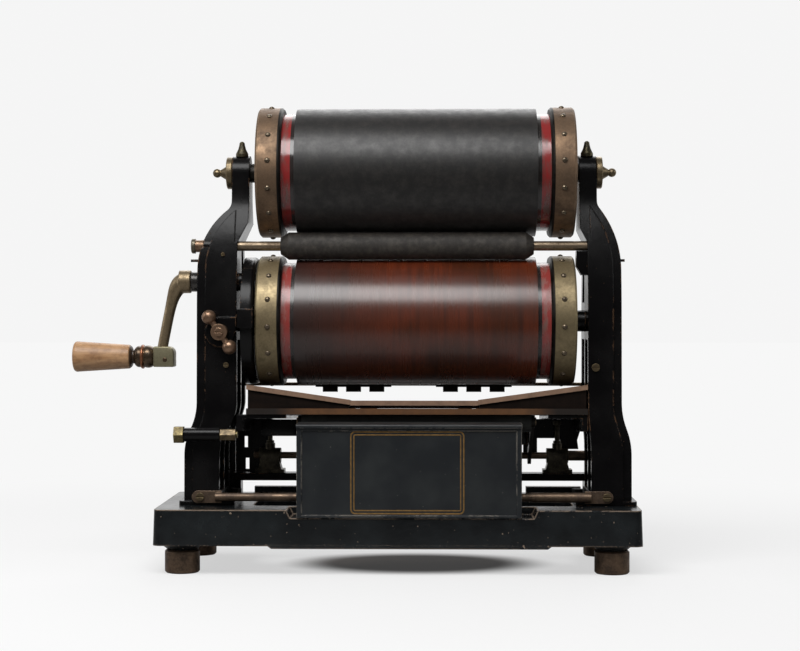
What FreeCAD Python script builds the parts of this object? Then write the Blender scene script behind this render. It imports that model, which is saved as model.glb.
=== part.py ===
"""Rotary stencil duplicator with two drums, an inking roller, a paper table and a tin front box.

Every sub-part is built in one working frame, in millimetres: X runs along the drums with 0 at their
middle, Y runs to the rear with 0 in the plane of both drum axes, and Z is up with 0 on the floor.
The finished parts are then moved so that the origin is the bottom centre of the whole machine.
"""
import FreeCAD, Part
import math
import os

V = FreeCAD.Vector
X_AXIS, Y_AXIS, Z_AXIS = V(1, 0, 0), V(0, 1, 0), V(0, 0, 1)

# ---- clearances ----
running = 0.05            # radial, between a shaft and the bearing it turns in
apart = 0.35              # between faces of two pieces that move past each other
seated = 0.02             # between round pieces that are fixed one inside the other

# ---- drums ----
lower_axis_z = 250.5
drum_centres = 152.7
drum_radius = 65.6
drum_half_length = 122.0
drum_wall = 3.0
band_width = 13.5
band_radius = 60.0
band_wall = 3.0
rim_width = 25.5
rim_radius = 66.7
rim_wall = 5.0
rim_edge_round = 2.0
web_thickness = 5.0
web_recess = 4.0
hub_radius = 14.0
studs_per_rim = 15
upper_stud_phase = 6.5    # degrees above the front of the rim
lower_stud_phase = -5.0
stud_radius = 2.3
stud_height = 2.0
stud_sink = 1.0           # how deep a stud sits in the rim
axle_radius = 8.0
axle_shoulder_radius = 9.8

# ---- drum gearing ----
gear_module = 1.5
drum_gear_teeth = 45
pinion_teeth = 15
gear_width = 7.8
gear_gap = 1.5            # from the drum rim to the gear
mesh_clearance = 0.12     # added to the centre distance, so that the teeth run free
crank_rise = 40.0         # crank shaft above the lower drum axis

# ---- side frames ----
left_inner_x = -181.6
left_outer_x = -222.2
left_leg_inner_x = -199.0
left_leg_outer_x = -234.5
left_head_inner_x = -171.4
right_inner_x = 173.4
right_outer_x = 207.4
right_leg_inner_x = 176.6
right_leg_outer_x = 217.2
right_head_inner_x = 166.5
head_width = 18.0
head_radius = 17.5
neck_bottom_z = 373.0     # where the outer edge leaves the neck
shoulder_z = 303.0        # where the outer edge is upright again
neck_round = 12.0
inner_step_z = 331.0      # where the inner edge of the left neck steps back
leg_top_z = 168.0         # where the leg starts to spread
leg_bottom_z = 115.0      # where the leg is upright again
frame_foot_depth = 45.5   # half depth above the foot
frame_waist_depth = 42.0  # half depth at the lower drum axis
frame_neck_depth = 17.5
frame_neck_z = 385.0      # where the front face is upright again
frame_neck_round = 60.0
frame_step_height = 12.0  # upright part of the front face above the base
frame_wall = 8.0
frame_rib = 8.0
edge_strip = 8.6          # width of the lowered strip along the outer front edge
edge_drop = 2.6
panel_inset = 3.2         # from a frame's inner edge to its raised panel, above the neck's step
flange_thickness = 4.0
flange_margin = 5.5
bearing_boss_radius = 11.0
crank_boss_radius = 9.5
bearing_depth = 30.0
frame_pin_z = 312.0
frame_pin_radius = 1.4
left_pin_reach = 8.0
right_pin_reach = 4.5
roller_lug_low_z = 297.0
roller_lug_depth = 15.0

# ---- gear guard ----
guard_radius = 65.4
guard_wall = 2.6
guard_round = 4.2         # small enough that the rim stays clear of the pinion's teeth
guard_frame_gap = 5.8
guard_lug_low_z = 243.6
guard_lug_high_z = 262.4
guard_lug_depth = 5.0
guard_lug_back = 2.2      # how far the lug stands out behind the guard's closed side

# ---- base and feet ----
base_left = -258.6
base_right = 222.6
base_half_depth = 90.0
base_top_z = 64.5
base_bottom_z = 29.0
base_draft = 1.2
base_wall = 8.0
base_corner = 7.0
well_left = -164.0
well_right = 158.0
well_half_depth = 50.0
sill_left, sill_right, sill_drop, sill_slope = -147.0, 135.0, 2.6, 5.0
rear_lip_height = 7.0
rear_lip_depth = 10.0
rear_lip_half_length = 176.0
rear_lip_notch_x = 112.0
rear_lip_notch = 5.0
foot_radius = 17.4
foot_height = 23.0
foot_chamfer = 1.6
left_foot_x = -233.0
right_foot_x = 195.0
foot_y = 66.0
foot_boss_radius = 22.0
foot_boss_tip = 14.5
base_rib = 7.0

# ---- front box ----
box_left = -117.0
box_right = 104.4
box_front = -92.0
box_depth = 36.0
box_bottom_z = 57.0
box_top_z = 147.6
box_wall = 1.6
box_corner = 6.0
box_rim = 5.0             # raised rim round the front panel
box_rim_height = 1.2
cover_thickness = 1.6
cover_lip = 7.0           # the cover's turned-down edge
cover_gap = 0.4
hinge_radius = 2.4
hinge_pin_radius = 1.2
hinge_knuckle = 24.0
recess_left = -123.4
recess_right = 116.3
recess_floor_z = 56.6

# ---- tie rod, cross bar and pedestals ----
tie_rod_z = 73.2
tie_rod_radius = 4.2
tie_sleeve_radius = 5.0
tie_sleeve_start = 116.0
tie_rod_y = -50.6
tie_end_height = 12.2
tie_end_thickness = 4.0
tie_left_end, tie_left_flat, tie_left_screw = -226.0, -196.0, -217.6
tie_right_flat, tie_right_end, tie_right_screw = 169.6, 198.0, 191.6
screw_head_radius = 4.2
screw_head_height = 2.4
screw_shank_radius = 2.2
screw_slot = 1.0
cross_bar_y = 60.0
cross_bar_depth = 20.0
cross_bar_top_z = 88.4
cross_bar_thickness = 7.8
cross_bar_left = -196.4
cross_bar_right = 186.0
cross_bar_leg = 9.0
left_pedestal_x = -157.0
right_pedestal_x = 149.2
pedestal_length = 31.0
pedestal_depth = 19.0
pedestal_top_length = 17.0
pedestal_boss_radius = 8.0
screw_spindle_radius = 2.6
screw_knob_radius = 4.6
screw_knob_height = 6.5
screw_top_z = 145.4
screw_tip_gap = 1.2       # between an adjusting screw and the rocker shaft below it
screw_collar_radius = 4.2
screw_collar_height = 2.5
screw_boss_rise = 5.0     # from the pedestal's bearing up to the top of the screw's boss

# ---- impression roller and its rocker ----
rocker_z = 106.7
rocker_radius = 3.6
rocker_left_end = -174.5
rocker_right_end = 196.0
rocker_sleeve_radius = 5.4  # the sleeve on the shaft outside the right pedestal
impression_radius = 11.0
impression_half_length = 117.3
impression_core_radius = 4.0
impression_rest_y = -13.8   # with the rest height, this gives arms long enough to reach the drum
impression_rest_z = 147.8
arm_thickness = 3.6
arm_tip_radius = 7.0
arm_root_radius = 9.0
arm_waist = 8.0

# ---- inking roller ----
inking_radius = 14.0
inking_left = -138.0
inking_right = 119.5
inking_taper = 8.0
inking_end_radius = 8.6
inking_shaft_radius = 4.9
inking_shaft_right = 190.0
inking_knob_radius = 7.6
inking_knob_width = 4.0
inking_hub_radius = 6.2
inking_hub_length = 8.4
inking_boss_radius = 6.7
inking_boss_inset = 5.5   # from the left frame's outer edge to the boss round the shaft

# ---- crank and grip ----
crank_shaft_radius = 5.0
crank_bush_radius = 6.9
crank_bush_reach = 7.7
crank_hub_radius = 11.7
crank_hub_width = 12.0
crank_drop = 76.6         # from the crank shaft down to the grip axis
crank_sections = (        # outward of the hub's inner face, below the shaft, lean from upright, radius
    (30.6, 68.5, 10.6, 5.15), (26.1, 45.0, 10.6, 5.2), (21.9, 22.5, 13.0, 5.3),
    (18.5, 14.2, 46.0, 8.0), (11.5, 6.5, 60.0, 9.3), (3.8, 0.0, 90.0, 11.3))
crank_block_offset = 25.9  # from the hub's outer face to the block's
crank_block = 21.0
crank_block_depth = 19.0
crank_block_round = 7.0
grip_length = 59.0
grip_end_radius = 15.6
grip_neck_radius = 12.2
ferrule_length = 20.6
ferrule_radius = 12.4
ferrule_bulge_radius = 11.4
ferrule_groove_radius = 10.6
ferrule_neck_radius = 6.8
ferrule_ring_start, ferrule_ring_end = 9.6, 13.2   # from the block
grip_collar = 3.4
grip_spindle_radius = 4.0
grip_spindle_margin = 8.0  # wood beyond the spindle's end
grip_spindle_inset = 4.0   # from the block's inner face to the spindle's other end

# ---- paper table ----
table_front_y = -45.0
table_slope = 3.5         # degrees, falling to the rear
table_left = -171.6
table_right = 173.0
table_depth = 165.0
table_slot_front = 18.0   # from the front edge to the roller's slot
table_slot = 62.0
table_slot_half_length = 127.0
centre_left = -66.3
centre_right = 62.4
centre_top_z = 170.2
centre_thickness = 4.9
wing_top_z = 186.3
wing_thickness = 5.0
wing_joint_rise = 0.8     # the wing's inner edge lies this much above the centre board
lower_board_top_z = 162.2
lower_board_thickness = 6.0
packing_width = 12.0
packing_end = 1.5         # from a wing's edges to the wedges below it
packing_margin = 2.0      # from a board's front and rear edges to its packings
bearer_left_end = -131.0
bearer_right_end = 133.0
bearer_flange = 4.0
bearer_web = 6.0
bearer_height = 17.0
bearer_front = 3.0        # from the table's front edge
bearer_full_depth = 80.0  # where the web starts to taper
bearer_rear = 10.0        # from the table's rear edge
plate_thickness = 4.0     # of the plates that hang below the bearers
left_plate_inner, left_plate_outer = -156.6, -195.3
left_plate_slots = ((-185.8, -182.2, 114.3, 126.3), (-184.6, -180.6, 91.0, 103.0))   # x, x, z, z
right_plate_edge = (      # x, z round the right plate's lower edges
    (180.0, 139.6), (175.3, 134.9), (171.4, 122.5), (172.7, 112.8), (155.4, 112.8), (152.3, 124.5),
    (128.5, 124.5), (128.5, 106.2), (113.6, 106.2))

# ---- stripper rod and combs ----
stripper_y = 41.0
stripper_z = 183.6
stripper_rod_radius = 1.8
comb_starts = (-107.0, 20.0)
comb_length = 80.0
comb_bar = 4.2
comb_finger = 15.8
comb_pitch = 24.6
comb_finger_drop = 5.2
comb_thickness = 5.0

# ---- small fittings on the frames ----
cap_disc_radius = 16.5
cap_disc_thickness = 6.2
cap_cone_radius = 7.7
cap_cone_length = 7.2
cap_ball_radius = 4.6
cap_ball_set = 3.3        # from the cone's end to the ball's centre
cap_edge_chamfer = 0.8
oil_cap_radius = 6.4
oil_cap_height = 15.0
lever_x, lever_z = -197.8, 239.3
lever_hub_radius = 8.2
lever_hub_length = 11.0
lever_screw_radius = 4.2
lever_screw_height = 1.3
lever_slot_depth = 1.0
lever_slot_half = 0.6
lever_reach = 18.3
lever_angle = 124.5
lever_ball_radius = 7.2
lever_arm_radius = 3.0
lever_stud_radius = 3.4
lever_boss_radius = 15.0
lever_boss_height = 3.0
lever_arm_setback = 3.6
lug_y = -50.8             # far enough forward for the nut to clear the frame's front face
lug_z = 136.0
lug_radius = 7.0
lug_web_half = 5.0
lug_left, lug_right = -233.8, -197.0
lug_bolt_radius = 3.4
lug_head_length = 9.6
lug_head_width = 16.0
lug_nut_length = 15.5
lug_nut_width = 10.6
front_screws = ((180.9, 203.7, 4.0), (-191.9, 206.0, 2.7), (-196.2, 318.0, 1.8))   # x, z, head radius
frame_bolt_head = 10.0
frame_bolt_height = 5.0
frame_bolt_shank = 3.0
frame_bolt_y = 38.0

# ---- places that follow from the sizes above ----
upper_axis_z = lower_axis_z + drum_centres
band_end = drum_half_length + band_width
rim_end = band_end + rim_width
gear_start = rim_end + gear_gap
gear_distance = gear_module * (drum_gear_teeth + pinion_teeth) / 2 + mesh_clearance
crank_y = -math.sqrt(gear_distance ** 2 - crank_rise ** 2)
crank_z = lower_axis_z + crank_rise
grip_z = crank_z - crank_drop
inking_z = lower_axis_z + drum_centres / 2
inking_reach = drum_radius + inking_radius + apart
inking_y = -math.sqrt(inking_reach ** 2 - (drum_centres / 2) ** 2)
left_head_outer_x = left_head_inner_x - head_width
right_head_outer_x = right_head_inner_x + head_width
box_back = box_front + box_depth
rocker_y = cross_bar_y
bush_end_x = left_outer_x - crank_bush_reach
hub_inner_x = bush_end_x - apart
hub_outer_x = hub_inner_x - crank_hub_width
block_outer_x = hub_outer_x - crank_block_offset
block_inner_x = block_outer_x + crank_block
arm_gap = impression_half_length + apart
plate_y = cross_bar_y + cross_bar_depth / 2
packing_depth = table_slot_front - 2 * packing_margin


# ---- shapes ----
def block(x0, x1, y0, y1, z0, z1):
    """A box between two corners."""
    return Part.makeBox(x1 - x0, y1 - y0, z1 - z0, V(x0, y0, z0))


def rod_x(x0, x1, y, z, radius):
    """A cylinder along X."""
    return Part.makeCylinder(radius, x1 - x0, V(x0, y, z), X_AXIS)


def rod_y(x, y0, y1, z, radius):
    """A cylinder along Y."""
    return Part.makeCylinder(radius, y1 - y0, V(x, y0, z), Y_AXIS)


def rod_z(x, y, z0, z1, radius):
    """A cylinder along Z."""
    return Part.makeCylinder(radius, z1 - z0, V(x, y, z0), Z_AXIS)


def tube_x(x0, x1, y, z, outer, inner):
    """A ring or tube along X."""
    return rod_x(x0, x1, y, z, outer).cut(rod_x(x0 - 1, x1 + 1, y, z, inner))


def face_of(points):
    """A flat face inside a closed run of straight edges."""
    return Part.Face(Part.makePolygon(points + points[:1]))


def prism_y(outline, y0, y1):
    """Push an outline of (x, z) points along Y."""
    return face_of([V(x, y0, z) for x, z in outline]).extrude(V(0, y1 - y0, 0))


def prism_x(outline, x0, x1):
    """Push an outline of (y, z) points along X."""
    return face_of([V(x0, y, z) for y, z in outline]).extrude(V(x1 - x0, 0, 0))


def prism_z(outline, z0, z1):
    """Push an outline of (x, y) points along Z."""
    return face_of([V(x, y, z0) for x, y in outline]).extrude(V(0, 0, z1 - z0))


def turned_x(profile, y, z):
    """Turn a profile of (x, radius) points about an axis along X."""
    face = face_of([V(x, y, z + radius) for x, radius in profile])
    return face.revolve(V(0, y, z), X_AXIS, 360)


def turned_path_x(start, steps, y, z):
    """Turn a profile about an axis along X; a step is (x, radius), or four numbers for an arc through its first two."""
    first = here = V(start[0], y, z + start[1])
    edges = []
    for step in steps:
        there = V(step[-2], y, z + step[-1])
        if len(step) == 2:
            edges.append(Part.makeLine(here, there))
        else:
            edges.append(Part.Arc(here, V(step[0], y, z + step[1]), there).toShape())
        here = there
    edges.append(Part.makeLine(here, first))
    return Part.Face(Part.Wire(edges)).revolve(V(0, y, z), X_AXIS, 360)


def turned_z(profile, x, y):
    """Turn a profile of (radius, z) points about an axis along Z."""
    face = face_of([V(x + radius, y, z) for radius, z in profile])
    return face.revolve(V(x, y, 0), Z_AXIS, 360)


def hexagon_x(x0, x1, y, z, width):
    """A six-sided nut or bolt head along X, measured across its flats."""
    corner = width / math.sqrt(3)
    angles = [math.radians(60 * i) for i in range(6)]
    return prism_x([(y + corner * math.cos(a), z + corner * math.sin(a)) for a in angles], x0, x1)


def hexagon_z(x, y, z0, z1, width):
    """A six-sided nut or bolt head along Z, measured across its flats."""
    corner = width / math.sqrt(3)
    angles = [math.radians(60 * i) for i in range(6)]
    return prism_z([(x + corner * math.cos(a), y + corner * math.sin(a)) for a in angles], z0, z1)


def mirrored_y(shape):
    """The same shape on the other side of the drum plane."""
    return shape.mirror(V(0, 0, 0), Y_AXIS)


def joined(shapes):
    """One solid from shapes that meet or overlap."""
    return shapes[0].fuse(shapes[1:]).removeSplitter()


def screw_y(x, z, face_y, radius, depth):
    """A slotted cheese-head screw driven to the rear, its head on a face at face_y."""
    head = rod_y(x, face_y - screw_head_height, face_y, z, radius)
    slot = block(x - radius, x + radius, face_y - screw_head_height, face_y - screw_head_height + screw_slot,
                 z - screw_slot / 2, z + screw_slot / 2)
    shank = rod_y(x, face_y, face_y + depth, z, radius * 0.5)
    return head.cut(slot).fuse(shank).removeSplitter()


# ---- drums ----
def drum_body(axis_z):
    """The cylinder that carries the stencil: an open tube."""
    return tube_x(-drum_half_length, drum_half_length, 0, axis_z, drum_radius, drum_radius - drum_wall)


def drum_bands(axis_z):
    """The two painted bands, a little smaller than the cylinder, at its ends."""
    ring = tube_x(drum_half_length, band_end, 0, axis_z, band_radius, band_radius - band_wall)
    return [ring, ring.mirror(V(0, 0, 0), X_AXIS)]


def drum_wheel(axis_z, side):
    """A turned end wheel: hub, web and a broad rim with rounded edges."""
    rim_inner = rim_radius - rim_wall
    web_outer = rim_end - web_recess
    bore = axle_radius + seated
    tip = rim_edge_round
    profile = [
        (rim_end, rim_inner), (rim_end, rim_radius - tip), (rim_end - tip, rim_radius),
        (band_end + tip, rim_radius), (band_end, rim_radius - tip), (band_end, band_radius - band_wall),
        (band_end + web_thickness, band_radius - band_wall), (band_end + web_thickness, rim_inner),
        (web_outer - web_thickness, rim_inner), (web_outer - web_thickness, hub_radius),
        (band_end, hub_radius), (band_end, bore), (rim_end, bore), (rim_end, hub_radius),
        (web_outer, hub_radius), (web_outer, rim_inner),
    ]
    wheel = turned_x(profile, 0, axis_z)
    return wheel if side > 0 else wheel.mirror(V(0, 0, 0), X_AXIS)


def drum_studs(axis_z, phase):
    """The ring of studs on both rims that takes hold of the stencil's edges."""
    studs = []
    for side in (-1, 1):
        x = side * (band_end + rim_width / 2)
        for i in range(studs_per_rim):
            angle = math.radians(phase + 360.0 * i / studs_per_rim)
            out = V(0, -math.cos(angle), math.sin(angle))
            foot = V(x, 0, axis_z) + out * (rim_radius - stud_sink)
            studs.append(Part.makeCylinder(stud_radius, stud_sink + stud_height, foot, out))
    return studs


def rim_with_stud_holes(wheel, studs):
    """Sink the studs' stems into the rim."""
    return wheel.cut(Part.makeCompound(studs))


def upper_axle():
    """The upper drum's axle, with shoulders between its wheels and the frame heads."""
    left_end = left_head_outer_x + apart
    right_end = right_head_outer_x - apart
    profile = [
        (left_end, 0), (left_end, axle_radius), (left_head_inner_x + apart, axle_radius),
        (left_head_inner_x + apart, axle_shoulder_radius), (-rim_end, axle_shoulder_radius),
        (-rim_end, axle_radius), (rim_end, axle_radius), (rim_end, axle_shoulder_radius),
        (right_head_inner_x - apart, axle_shoulder_radius), (right_head_inner_x - apart, axle_radius),
        (right_end, axle_radius), (right_end, 0),
    ]
    return turned_x(profile, 0, upper_axis_z)


def lower_axle():
    """The lower drum's axle: it also carries the drum gear at its left end."""
    left_end = left_boss_face() - bearing_depth + apart
    right_end = right_boss_face() + bearing_depth - apart
    profile = [
        (left_end, 0), (left_end, axle_radius), (rim_end, axle_radius), (rim_end, axle_shoulder_radius),
        (right_boss_face() - apart, axle_shoulder_radius), (right_boss_face() - apart, axle_radius),
        (right_end, axle_radius), (right_end, 0),
    ]
    return turned_x(profile, 0, lower_axis_z)


def left_boss_face():
    """Inner face of the left frame's bearing boss, just clear of the drum gear."""
    return -(gear_start + gear_width + apart)


def right_boss_face():
    """Inner face of the right frame's bearing boss."""
    return rim_end + gear_gap + apart


def gear(x0, x1, y, z, teeth, bore, phase):
    """A spur gear along X with straight-flanked teeth; phase is the angle of its first tooth."""
    pitch = gear_module * teeth / 2
    root = pitch - 1.25 * gear_module
    tip = pitch + gear_module
    step = 2 * math.pi / teeth
    outline = []
    for i in range(teeth):
        middle = math.radians(phase) + i * step
        for radius, share in ((root, -0.36), (pitch, -0.24), (tip, -0.12), (tip, 0.12), (pitch, 0.24), (root, 0.36)):
            angle = middle + share * step
            outline.append((y + radius * math.cos(angle), z + radius * math.sin(angle)))
    return prism_x(outline, x0, x1).cut(rod_x(x0 - 1, x1 + 1, y, z, bore))


def drum_gear():
    """The gear wheel on the lower drum's axle, with a hub against the drum wheel."""
    wheel = gear(-gear_start - gear_width, -gear_start, 0, lower_axis_z, drum_gear_teeth,
                 axle_radius + seated, mesh_angle())
    hub = tube_x(-gear_start, -rim_end, 0, lower_axis_z, hub_radius, axle_radius + seated)
    return wheel.fuse(hub).removeSplitter()


def mesh_angle():
    """Direction from the lower drum's axis to the crank shaft, in degrees from +Y."""
    return math.degrees(math.atan2(crank_rise, crank_y))


# ---- side frames ----
def sweep_points(top, bottom, top_radius):
    """Centres and tangent point of two arcs that join two upright edges smoothly."""
    across = abs(bottom[0] - top[0])
    down = top[1] - bottom[1]
    total = (across ** 2 + down ** 2) / (2 * across)
    way = 1 if bottom[0] > top[0] else -1
    top_centre = (top[0] + way * top_radius, top[1])
    bottom_radius = total - top_radius
    bottom_centre = (bottom[0] - way * bottom_radius, bottom[1])
    share = top_radius / total
    meet = (top_centre[0] + (bottom_centre[0] - top_centre[0]) * share,
            top_centre[1] + (bottom_centre[1] - top_centre[1]) * share)
    return top_centre, top_radius, bottom_centre, bottom_radius, meet


def arc_through(start, centre, radius, end):
    """The short arc about a centre between two (x, z) points."""
    middle = V((start[0] + end[0]) / 2 - centre[0], 0, (start[1] + end[1]) / 2 - centre[1])
    middle.normalize()
    point = (centre[0] + middle.x * radius, centre[1] + middle.z * radius)
    return Part.Arc(V(start[0], 0, start[1]), V(point[0], 0, point[1]), V(end[0], 0, end[1])).toShape()


def swept_edge(top, bottom, top_radius):
    """Two tangent arcs, as edges, from an upper to a lower upright edge."""
    top_centre, r_top, bottom_centre, r_bottom, meet = sweep_points(top, bottom, top_radius)
    return [arc_through(top, top_centre, r_top, meet), arc_through(meet, bottom_centre, r_bottom, bottom)]


def straight(a, b):
    """A straight edge between two (x, z) points."""
    return Part.makeLine(V(a[0], 0, a[1]), V(b[0], 0, b[1]))


def frame_outline(head_inner, head_outer, inner, outer, leg_inner, leg_outer, head_top):
    """The front outline of a side frame: narrow head, broad waist and a leg that spreads outward."""
    outer_waist = (outer, leg_top_z)
    outer_leg = (leg_outer, leg_bottom_z)
    inner_waist = (inner, leg_top_z)
    inner_leg = (leg_inner, leg_bottom_z)
    neck_top = (head_inner, inner_step_z + 2 * abs(head_inner - inner))
    step_bottom = (inner, inner_step_z)
    even = ((abs(leg_outer - outer)) ** 2 + (leg_top_z - leg_bottom_z) ** 2) / (4 * abs(leg_outer - outer))
    even_inner = ((abs(leg_inner - inner)) ** 2 + (leg_top_z - leg_bottom_z) ** 2) / (4 * abs(leg_inner - inner))
    edges = [straight((head_inner, head_top), (head_outer, head_top)),
             straight((head_outer, head_top), (head_outer, neck_bottom_z))]
    edges += swept_edge((head_outer, neck_bottom_z), (outer, shoulder_z), neck_round)
    edges += [straight((outer, shoulder_z), outer_waist)]
    edges += swept_edge(outer_waist, outer_leg, even)
    edges += [straight(outer_leg, (leg_outer, base_top_z)),
              straight((leg_outer, base_top_z), (leg_inner, base_top_z)),
              straight((leg_inner, base_top_z), inner_leg)]
    edges += swept_edge(inner_waist, inner_leg, even_inner)
    edges += [straight(inner_waist, step_bottom), straight(step_bottom, neck_top),
              straight(neck_top, (head_inner, head_top))]
    return Part.Face(Part.Wire(Part.__sortEdges__(edges)))


def frame_side_profile():
    """The side outline of a frame: a post that sweeps in to a narrow neck with a round head."""
    head_z = upper_axis_z
    edges = [straight((frame_foot_depth, base_top_z), (-frame_foot_depth, base_top_z))]
    for way in (-1, 1):
        foot, step = (way * frame_foot_depth, base_top_z), (way * frame_foot_depth, base_top_z + frame_step_height)
        waist, neck = (way * frame_waist_depth, lower_axis_z), (way * frame_neck_depth, frame_neck_z)
        edges += [straight(foot, step), straight(step, waist), straight(neck, (way * frame_neck_depth, head_z))]
        edges += swept_edge(neck, waist, frame_neck_round)
    crown = Part.Arc(V(-head_radius, 0, head_z), V(0, 0, head_z + head_radius), V(head_radius, 0, head_z)).toShape()
    profile = Part.Face(Part.Wire(Part.__sortEdges__(edges + [crown])))
    profile.rotate(V(0, 0, 0), Z_AXIS, 90)
    return profile


def side_frame(side):
    """A hollow cast side frame, open towards the drums, with bearing bosses and a foot flange."""
    if side < 0:
        inner, outer, leg_inner, leg_outer = left_inner_x, left_outer_x, left_leg_inner_x, left_leg_outer_x
        head_inner, head_outer, boss_face = left_head_inner_x, left_head_outer_x, left_boss_face()
    else:
        inner, outer, leg_inner, leg_outer = right_inner_x, right_outer_x, right_leg_inner_x, right_leg_outer_x
        head_inner, head_outer, boss_face = right_head_inner_x, right_head_outer_x, right_boss_face()
    head_top = upper_axis_z + head_radius
    outline = frame_outline(head_inner, head_outer, inner, outer, leg_inner, leg_outer, head_top + 5)
    reach = frame_foot_depth + 5
    outline.translate(V(0, -reach, 0))
    front_form = outline.extrude(V(0, 2 * reach, 0))
    low_x, high_x = min(leg_outer, head_inner) - 10, max(leg_outer, head_inner) + 10
    profile = frame_side_profile()
    profile.translate(V(low_x, 0, 0))
    side_form = profile.extrude(V(high_x - low_x, 0, 0))
    casting = front_form.common(side_form)

    hollow_form = front_form.copy()
    hollow_form.translate(V(-side * frame_wall, 0, 0))
    casting = casting.cut(hollow_form.common(frame_pockets(low_x, high_x)))

    strip_form = front_form.copy()
    strip_form.translate(V(-side * edge_strip, 0, 0))
    neck_x = sorted((head_inner - side * edge_strip, inner + side * panel_inset))
    neck_form = front_form.common(block(neck_x[0], neck_x[1], -reach, 0, inner_step_z, head_top + 5))
    skin = side_form.copy()
    skin.translate(V(0, edge_drop, 0))
    casting = casting.cut(front_form.cut(strip_form).fuse(neck_form).cut(skin).common(side_form))

    wall_x = outer - side * frame_wall
    boss_x = sorted((wall_x, boss_face))
    bosses = [rod_x(boss_x[0], boss_x[1], 0, lower_axis_z, bearing_boss_radius), frame_foot(leg_inner, leg_outer)]
    bosses += left_frame_lugs(boss_x) if side < 0 else right_frame_lugs()
    casting = joined([casting] + bosses)
    return casting.cut(Part.makeCompound(frame_bores(side, head_inner, head_outer, boss_face)))


def left_frame_lugs(boss_x):
    """What stands out of the left frame: bosses for crank and roller, bolt lug, the lever's seat and a small pin."""
    face = frame_front_y(lever_z)
    seat_y = face - lever_boss_height
    roller_x = left_outer_x + inking_boss_inset
    return [rod_x(boss_x[0], boss_x[1], crank_y, crank_z, crank_boss_radius),
            rod_x(roller_x, roller_x + edge_strip, inking_y, inking_z, inking_boss_radius),
            rod_x(lug_left, lug_right, lug_y, lug_z, lug_radius),
            block(lug_left + frame_wall, lug_right, lug_y, -frame_waist_depth, lug_z - lug_web_half, lug_z + lug_web_half),
            rod_y(lever_x, seat_y, face + frame_wall, lever_z, lever_boss_radius),
            block(lever_x, left_inner_x, seat_y, face + frame_wall, lever_z, lever_z + lever_boss_radius),
            rod_x(left_outer_x - left_pin_reach, left_outer_x + frame_wall, inking_y, frame_pin_z, frame_pin_radius)]


def right_frame_lugs():
    """What stands out of the right frame: a lug under the inking roller's shaft and a small pin."""
    lug_top = inking_z - inking_shaft_radius - apart
    half = roller_lug_depth / 2
    x0, x1 = rim_end + gear_gap, right_inner_x + frame_wall
    lug = prism_y([(x0, lug_top), (x1, lug_top), (x1, roller_lug_low_z), (x0 + 5, roller_lug_low_z),
                   (x0, roller_lug_low_z + 9)], inking_y - half, inking_y + half)
    pin = rod_x(right_outer_x - frame_wall, right_outer_x + right_pin_reach, inking_y, frame_pin_z, frame_pin_radius)
    return [lug, pin]


def gear_guard():
    """A round cup over the drum gear and the pinion, held by two bosses of the left frame, with a lug in front."""
    back = left_inner_x + guard_frame_gap
    rim = -gear_start
    inner = guard_radius - guard_wall
    bend = guard_round * (1 - math.sqrt(0.5))
    cup = turned_path_x((back, 0), [
        (back, guard_radius), (rim - guard_round, guard_radius),
        (rim - bend, guard_radius - bend, rim, guard_radius - guard_round), (rim, inner - guard_round),
        (rim - bend, inner - bend, rim - guard_round, inner), (back + guard_wall, inner), (back + guard_wall, 0),
    ], 0, lower_axis_z)
    lug = block(back - guard_lug_back, rim, -guard_radius - guard_lug_depth, -inner - guard_wall / 4,
                guard_lug_low_z, guard_lug_high_z)
    return joined([cup, lug]).cut(Part.makeCompound([
        rod_x(back - 1, rim + 1, 0, lower_axis_z, bearing_boss_radius + seated),
        rod_x(back - 1, back + guard_wall + 1, crank_y, crank_z, crank_boss_radius + seated)]))


def frame_pockets(low_x, high_x):
    """The open pockets behind the front face of a frame, as (y, z) outlines pushed along X."""
    top = lower_axis_z - bearing_boss_radius - frame_wall
    low = base_top_z + frame_step_height
    near = frame_rib / 2
    depth_low = frame_foot_depth - frame_wall
    depth_high = frame_waist_depth - frame_wall
    lower = prism_x([(near, low), (depth_low, low), (depth_high, top), (near, top)], low_x, high_x)
    upper_low = lower_axis_z + bearing_boss_radius + frame_wall
    upper = prism_x([(near, upper_low), (-frame_front_y(shoulder_z) - frame_wall, upper_low),
                     (frame_neck_depth, inner_step_z), (near, inner_step_z)], low_x, high_x)
    return Part.makeCompound([lower, mirrored_y(lower), upper])


def frame_foot(leg_inner, leg_outer):
    """The flange that stands on the base, wide enough on the inside for the bolts."""
    towards = 1 if leg_inner > leg_outer else -1
    x0, x1 = sorted((leg_outer - towards * flange_margin, leg_inner + towards * (frame_bolt_head + flange_margin)))
    plate = block(x0, x1, -frame_foot_depth, frame_foot_depth, base_top_z, base_top_z + flange_thickness)
    upright = [edge for edge in plate.Edges if abs(edge.tangentAt(edge.FirstParameter).z) > 0.9]
    return plate.makeFillet(flange_margin, upright)


def bolt_x(side):
    """Distance along X of the bolts that hold a frame to the base."""
    margin = (frame_bolt_head + flange_margin) / 2
    return left_leg_inner_x + margin if side < 0 else right_leg_inner_x - margin


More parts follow.
